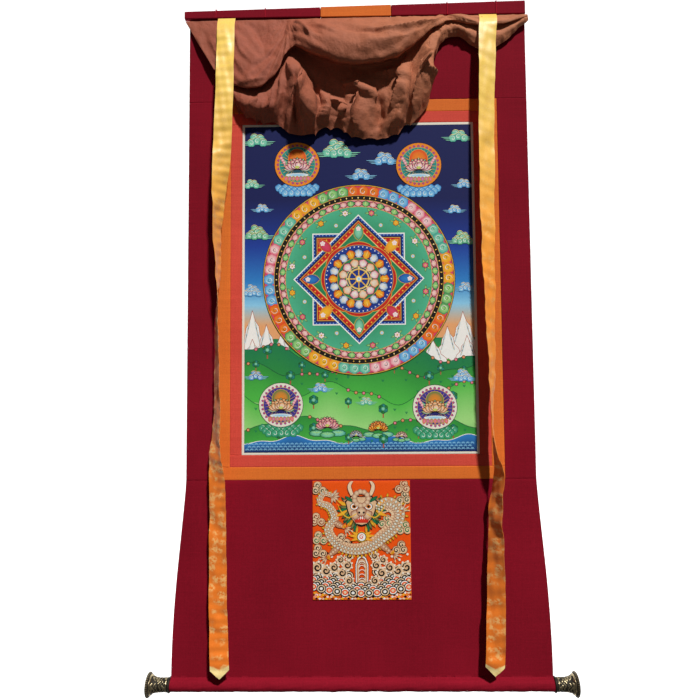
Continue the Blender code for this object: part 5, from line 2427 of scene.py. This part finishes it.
@dataclass
class Ribbon:
    """A satin ribbon that turns over as it hangs, cut to a point at its foot; light is painted into
    its colour, brighter near its top and pale at its tip.
    """

    name: str
    stations: tuple[Station, ...]
    holder: str
    seed: int
    width: float = 0.034
    thickness: float = 0.0006
    point: float = 0.016
    down_steps: int = 30
    columns: int = 20
    # Painted light: face is the front's colour near the top, bright as if its sheen caught the
    # light; the darker colour below it is painted shade.
    face: Colour = (0.98, 0.65, 0.115)
    face_low: Colour = (0.98, 0.31, 0.024)
    reverse: Colour = (0.90, 0.21, 0.014)
    # Painted highlight: a pale colour for the tip, as if a fold there caught the light; the mesh
    # has no such fold.
    lining: Colour = (1.0, 0.80, 0.34)

    def build(self) -> bpy.types.Object:
        """Adds the ribbon.

        Returns:
            The piece.
        """
        rows = np.array([list(vars(station).values()) for station in self.stations])
        fine = smooth_along(rows * (0.001, 0.001, 0.001, 1.0), self.down_steps)
        drop, across, out, turn = (column[:, None] for column in fine.T)
        turn = np.radians(turn)
        side = np.linspace(-1, 1, self.columns + 1)[None, :]
        half = side * self.width / 2
        ending = np.clip(1 - np.arange(len(fine))[::-1] / (self.down_steps * 0.8), 0, 1)[:, None]
        drops = drop + ending**2 * self.point * (1 - np.abs(side))
        x = across + half * np.cos(turn)
        outs = out - half * np.sin(turn)
        centre = to_world(np.stack([x, outs, drops], axis=-1))
        normal = facing(centre)
        slant = drops + half * 0.9
        height = 0.0011 * ripple(slant, 0.055, self.seed) * (0.6 + 0.4 * ripple(drops, 0.2, 3))
        height += 0.0007 * lumps(half, drops, 0.024, self.seed + 1)
        height += 0.0010 * side**2 * ripple(drops, 0.11, self.seed + 2)
        height *= step_up(drops, drop[0, 0], drop[0, 0] + 0.05)
        centre = centre + normal * height[..., None]
        normal = facing(centre)
        front = centre + normal * self.thickness / 2
        back = centre - normal * self.thickness / 2
        # Painted light: the front fades from its bright top colour to a darker, shaded colour lower
        # down.
        share = step_up(drops, 0.14, 0.60)[..., None]
        face = np.array(self.face) * (1 - share) + np.array(self.face_low) * share
        # Painted highlight: both faces of the point's last part are painted pale, standing in for a
        # lit folded-back facet.
        highlit_tip = (step_up(ending, 0.66, 0.74) * np.ones_like(x))[..., None]
        face = face * (1 - highlit_tip) + np.array(self.lining) * highlit_tip
        reverse = np.array(self.reverse) * (1 - highlit_tip) + np.array(self.lining) * highlit_tip
        plain = np.full(x.shape, 0.5)
        layers = {"dye": (face, reverse), "damask": (plain, np.ones_like(x))}
        piece = add_sheet(self.name, front, back, Finish.RIBBON, layers)
        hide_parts(self.name)
        return piece


LEFT_RIBBON = (
    Station(24, -255, 7.5, 0), Station(50, -254, 21, 0), Station(100, -253, 29, 0),
    Station(185, -252, 40, 0), Station(280, -255, 40, 6), Station(330, -258, 38, 32),
    Station(394, -263, 36, 60), Station(452, -265.5, 35, 76), Station(530, -263.5, 34, 88),
    Station(585, -264.5, 34, 106), Station(641, -266, 33, 113), Station(771, -264, 33, 121),
    Station(863, -267.5, 32, 134), Station(905, -265, 31, 155), Station(972, -263, 30, 162),
    Station(1134, -262, 28, 174), Station(1206, -260.5, 27, 182), Station(1260, -259, 26, 190),
)
RIGHT_RIBBON = (
    Station(24, 256, 7.5, 0), Station(42, 254, 22, 0), Station(75, 251, 27, 6),
    Station(187, 246.7, 28, 20),
    Station(284, 244.7, 28, 20), Station(381, 243.3, 29, 25), Station(476, 242.7, 30, 33),
    Station(570, 243.4, 30, 42), Station(645, 244, 31, 51), Station(738, 245, 31, 61),
    Station(793, 242, 31, 71), Station(866, 248, 31, 86), Station(903, 252, 31, 108),
    Station(957, 247, 30, 117), Station(1037, 244.5, 30, 131), Station(1100, 244, 29, 146),
    Station(1215, 241.5, 27, 165), Station(1256, 239.5, 26, 172),
)


# ------------------------------------------------------------------ the rod's ends


@dataclass
class Cap:
    """A cast brass end with a flared rim and scrolls in relief."""

    name: str
    side: int
    start: float = 0.3536
    around: int = 160
    relief: float = 0.0011
    profile: tuple[tuple[float, float], ...] = (
        (0.0, 0.0104), (0.0, 0.0128), (0.0008, 0.0137), (0.0019, 0.0140), (0.0030, 0.0137),
        (0.0038, 0.0126), (0.0050, 0.0121), (0.0090, 0.0119), (0.0140, 0.0119), (0.0190, 0.0121),
        (0.0240, 0.0126), (0.0290, 0.0137), (0.0330, 0.0155), (0.0362, 0.0178), (0.0384, 0.0200),
        (0.0398, 0.0213), (0.0408, 0.0216), (0.0416, 0.0212), (0.0420, 0.0204), (0.0414, 0.0188),
        (0.0412, 0.0165), (0.0420, 0.0120), (0.0430, 0.0070), (0.0434, 0.0008),
    )

    def build(self) -> bpy.types.Object:
        """Adds the cap.

        Returns:
            The piece.
        """
        fine = smooth_along(np.array(self.profile), 7)
        along, radius = (column[:, None] for column in fine.T)
        turn = np.linspace(0, math.tau, self.around, endpoint=False)[None, :]
        body = step_up(along, 0.0045, 0.0065) * (1 - step_up(along, 0.0355, 0.0385))
        waist = (along - 0.0055) / 0.031
        vine = np.sin(3 * turn + 5.2 * np.sin(waist * math.tau * 1.5 + 0.6 * np.sin(6 * turn)))
        curl = np.sin(6 * turn + math.tau * waist * 3.2) * np.sin(waist * math.tau * 2.6 + 1.0)
        leaf = np.cos(9 * turn - math.tau * waist * 1.4) * np.cos(math.tau * waist * 4.4)
        scroll = np.tanh(1.9 * (0.65 * vine + 0.55 * curl + 0.4 * leaf)) * 0.5 + 0.5
        rings = np.exp(-(((along - 0.0068) / 0.0006) ** 2))
        rings += np.exp(-(((along - 0.0352) / 0.0007) ** 2))
        beads = step_up(along, 0.0372, 0.0385) * (1 - step_up(along, 0.0403, 0.0412))
        beads = beads * (0.5 + 0.5 * np.cos(36 * turn))
        height = np.clip(body * scroll * 0.9 + rings, 0, 1)
        outward = radius > 0.0115
        swell = outward * (self.relief * (height - 0.35 * body) + 0.0005 * beads)
        rim = np.clip(1 - body + 0 * turn, 0, 1) * 0.75
        ridge = np.clip(height * body + rim * (0.55 + 0.45 * beads) + rings, 0, 1)
        full = radius + swell
        x = ROLLER_CENTRE + self.side * (self.start + along) + 0 * turn
        points = np.stack(
            [x, full * np.cos(turn), -ROLLER_DROP + full * np.sin(turn)], axis=-1
        )
        rows = len(fine)
        number = np.arange(rows * self.around).reshape(rows, self.around)
        after = np.roll(number, -1, axis=1)
        sides = np.stack([number[:-1], number[1:], after[1:], after[:-1]], axis=-1).reshape(-1, 4)
        end = number[-1][None, :]
        if self.side > 0:
            sides = sides[:, ::-1]
        else:
            end = end[:, ::-1]
        layers = {"ridge": ridge.ravel()}
        flat = points.reshape(-1, 3)
        faces = [sides, end]
        piece = add_piece(self.name, flat, faces, Finish.BRASS, layers, sharp=75.0)
        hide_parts(self.name)
        return piece


# ------------------------------------------------------------------ what is kept from the frame


@dataclass
class KeptPieces:
    """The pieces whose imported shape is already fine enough, in their new finishes."""

    finishes: dict[str, Finish] = field(
        default_factory=lambda: {
            "heading_left": Finish.MAROON,
            "heading_centre": Finish.ORANGE,
            "heading_right": Finish.MAROON,
            "tie_1": Finish.THREAD,
            "tie_2": Finish.THREAD,
            "tie_3": Finish.THREAD,
            "tie_4": Finish.THREAD,
            "roller_rod": Finish.WOOD,
        }
    )

    def build(self) -> None:
        """Puts the finishes on."""
        for name, finish in self.finishes.items():
            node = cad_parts[name]
            node.data.materials.clear()
            node.data.materials.append(finish.material())
            LOG.info("%s: kept in %s", name, finish.value.name)


# ------------------------------------------------------------------ the studio


@dataclass
class Studio:
    """A plain pale sweep, one soft key light from the upper right, and the camera."""

    place: tuple[float, float, float] = (-0.0026, -1.1330, -0.7460)
    pitch: float = 3.4077
    yaw: float = 0.7822
    roll: float = -0.4539
    lens: float = 30.585
    light_from: tuple[float, float, float] = (0.42, -1.0, 1.28)
    light_angle: float = 4.0
    light: float = 4.1
    fill: float = 0.09
    backdrop_light: float = 60.0
    floor: float = -2.3
    wall: float = 3.5
    near: float = 0.45

    def build(self) -> None:
        """Adds the sweep, the light, the sky's fill and the camera."""
        scene = bpy.context.scene
        scene.view_settings.view_transform = "Standard"
        self.sweep()
        sun = bpy.data.lights.new("key", "SUN")
        sun.energy = self.light
        sun.angle = math.radians(self.light_angle)
        key = bpy.data.objects.new("key", sun)
        key.rotation_euler = Vector(self.light_from).to_track_quat("Z", "Y").to_euler()
        scene.collection.objects.link(key)
        panel = bpy.data.lights.new("backdrop_light", "AREA")
        panel.shape = "RECTANGLE"
        panel.size = 6.0
        panel.size_y = 3.0
        panel.energy = self.backdrop_light
        washer = bpy.data.objects.new("backdrop_light", panel)
        washer.location = (0.0, 1.2, 1.6)
        washer.rotation_euler = (math.radians(60.0), 0.0, 0.0)
        scene.collection.objects.link(washer)
        world = bpy.data.worlds.new("fill")
        world.use_nodes = True
        sky = world.node_tree.nodes["Background"]
        sky.inputs["Color"].default_value = (1.0, 1.0, 1.0, 1.0)
        sky.inputs["Strength"].default_value = self.fill
        scene.world = world
        scene.camera = self.camera()

    def camera(self) -> bpy.types.Object:
        """The camera, a little below the painting's middle.

        Returns:
            The camera.
        """
        made = bpy.data.objects.new("camera", bpy.data.cameras.new("camera"))
        made.data.lens = self.lens
        made.data.sensor_width = 36.0
        made.data.clip_end = 50.0
        turns = (
            Matrix.Rotation(math.radians(self.yaw), 4, "Z")
            @ Matrix.Rotation(math.radians(self.pitch), 4, "X")
            @ Matrix.Rotation(math.radians(-self.roll), 4, "Y")
            @ Matrix.Rotation(math.radians(90), 4, "X")
        )
        made.matrix_world = Matrix.Translation(self.place) @ turns
        bpy.context.scene.collection.objects.link(made)
        return made

    def sweep(self) -> None:
        """The floor, curved up into a wall well behind the object."""
        turn = np.radians(np.linspace(0, 90, 13))
        y = np.concatenate([[self.near], self.wall - 1.0 + np.sin(turn), [self.wall]])
        z = np.concatenate([[self.floor], self.floor + 1.0 - np.cos(turn), [4.0]])
        left = np.stack([np.full_like(y, -7.0), y, z], axis=-1)
        right = np.stack([np.full_like(y, 7.0), y, z], axis=-1)
        count = len(y)
        number = np.arange(count - 1)
        faces = np.stack([number, number + count, number + count + 1, number + 1], axis=-1)
        mesh = bpy.data.meshes.new("sweep")
        mesh.from_pydata(np.concatenate([left, right]).tolist(), [], faces.tolist())
        mesh.shade_smooth()
        mesh.materials.append(Finish.GROUND.material())
        sweep = bpy.data.objects.new("sweep", mesh)
        bpy.context.scene.collection.objects.link(sweep)


def main() -> None:
    """Builds the looks, piece by piece."""
    logging.basicConfig(level=logging.INFO, format="%(name)s: %(message)s")
    KeptPieces().build()
    mount = MountCloth()
    mount.build()
    half, top, bottom = PAINTING_HALF, PAINTING_TOP, PAINTING_BOTTOM
    Border("red", half, top, bottom, RED_WIDTH - GAP, Finish.RED).build()
    half, top, bottom = half + RED_WIDTH, top - RED_WIDTH, bottom + RED_WIDTH
    Border("orange", half, top, bottom, ORANGE_WIDTH, Finish.ORANGE).build()
    Painting().build()
    DragonSquare(mount).build()
    DustCover().build()
    Ribbon("ribbon_left", LEFT_RIBBON, "heading_left", 71).build()
    Ribbon("ribbon_right", RIGHT_RIBBON, "heading_right", 81).build()
    Cap("cap_left", -1).build()
    Cap("cap_right", 1).build()
    Studio().build()


if __name__ == "__main__":
    main()
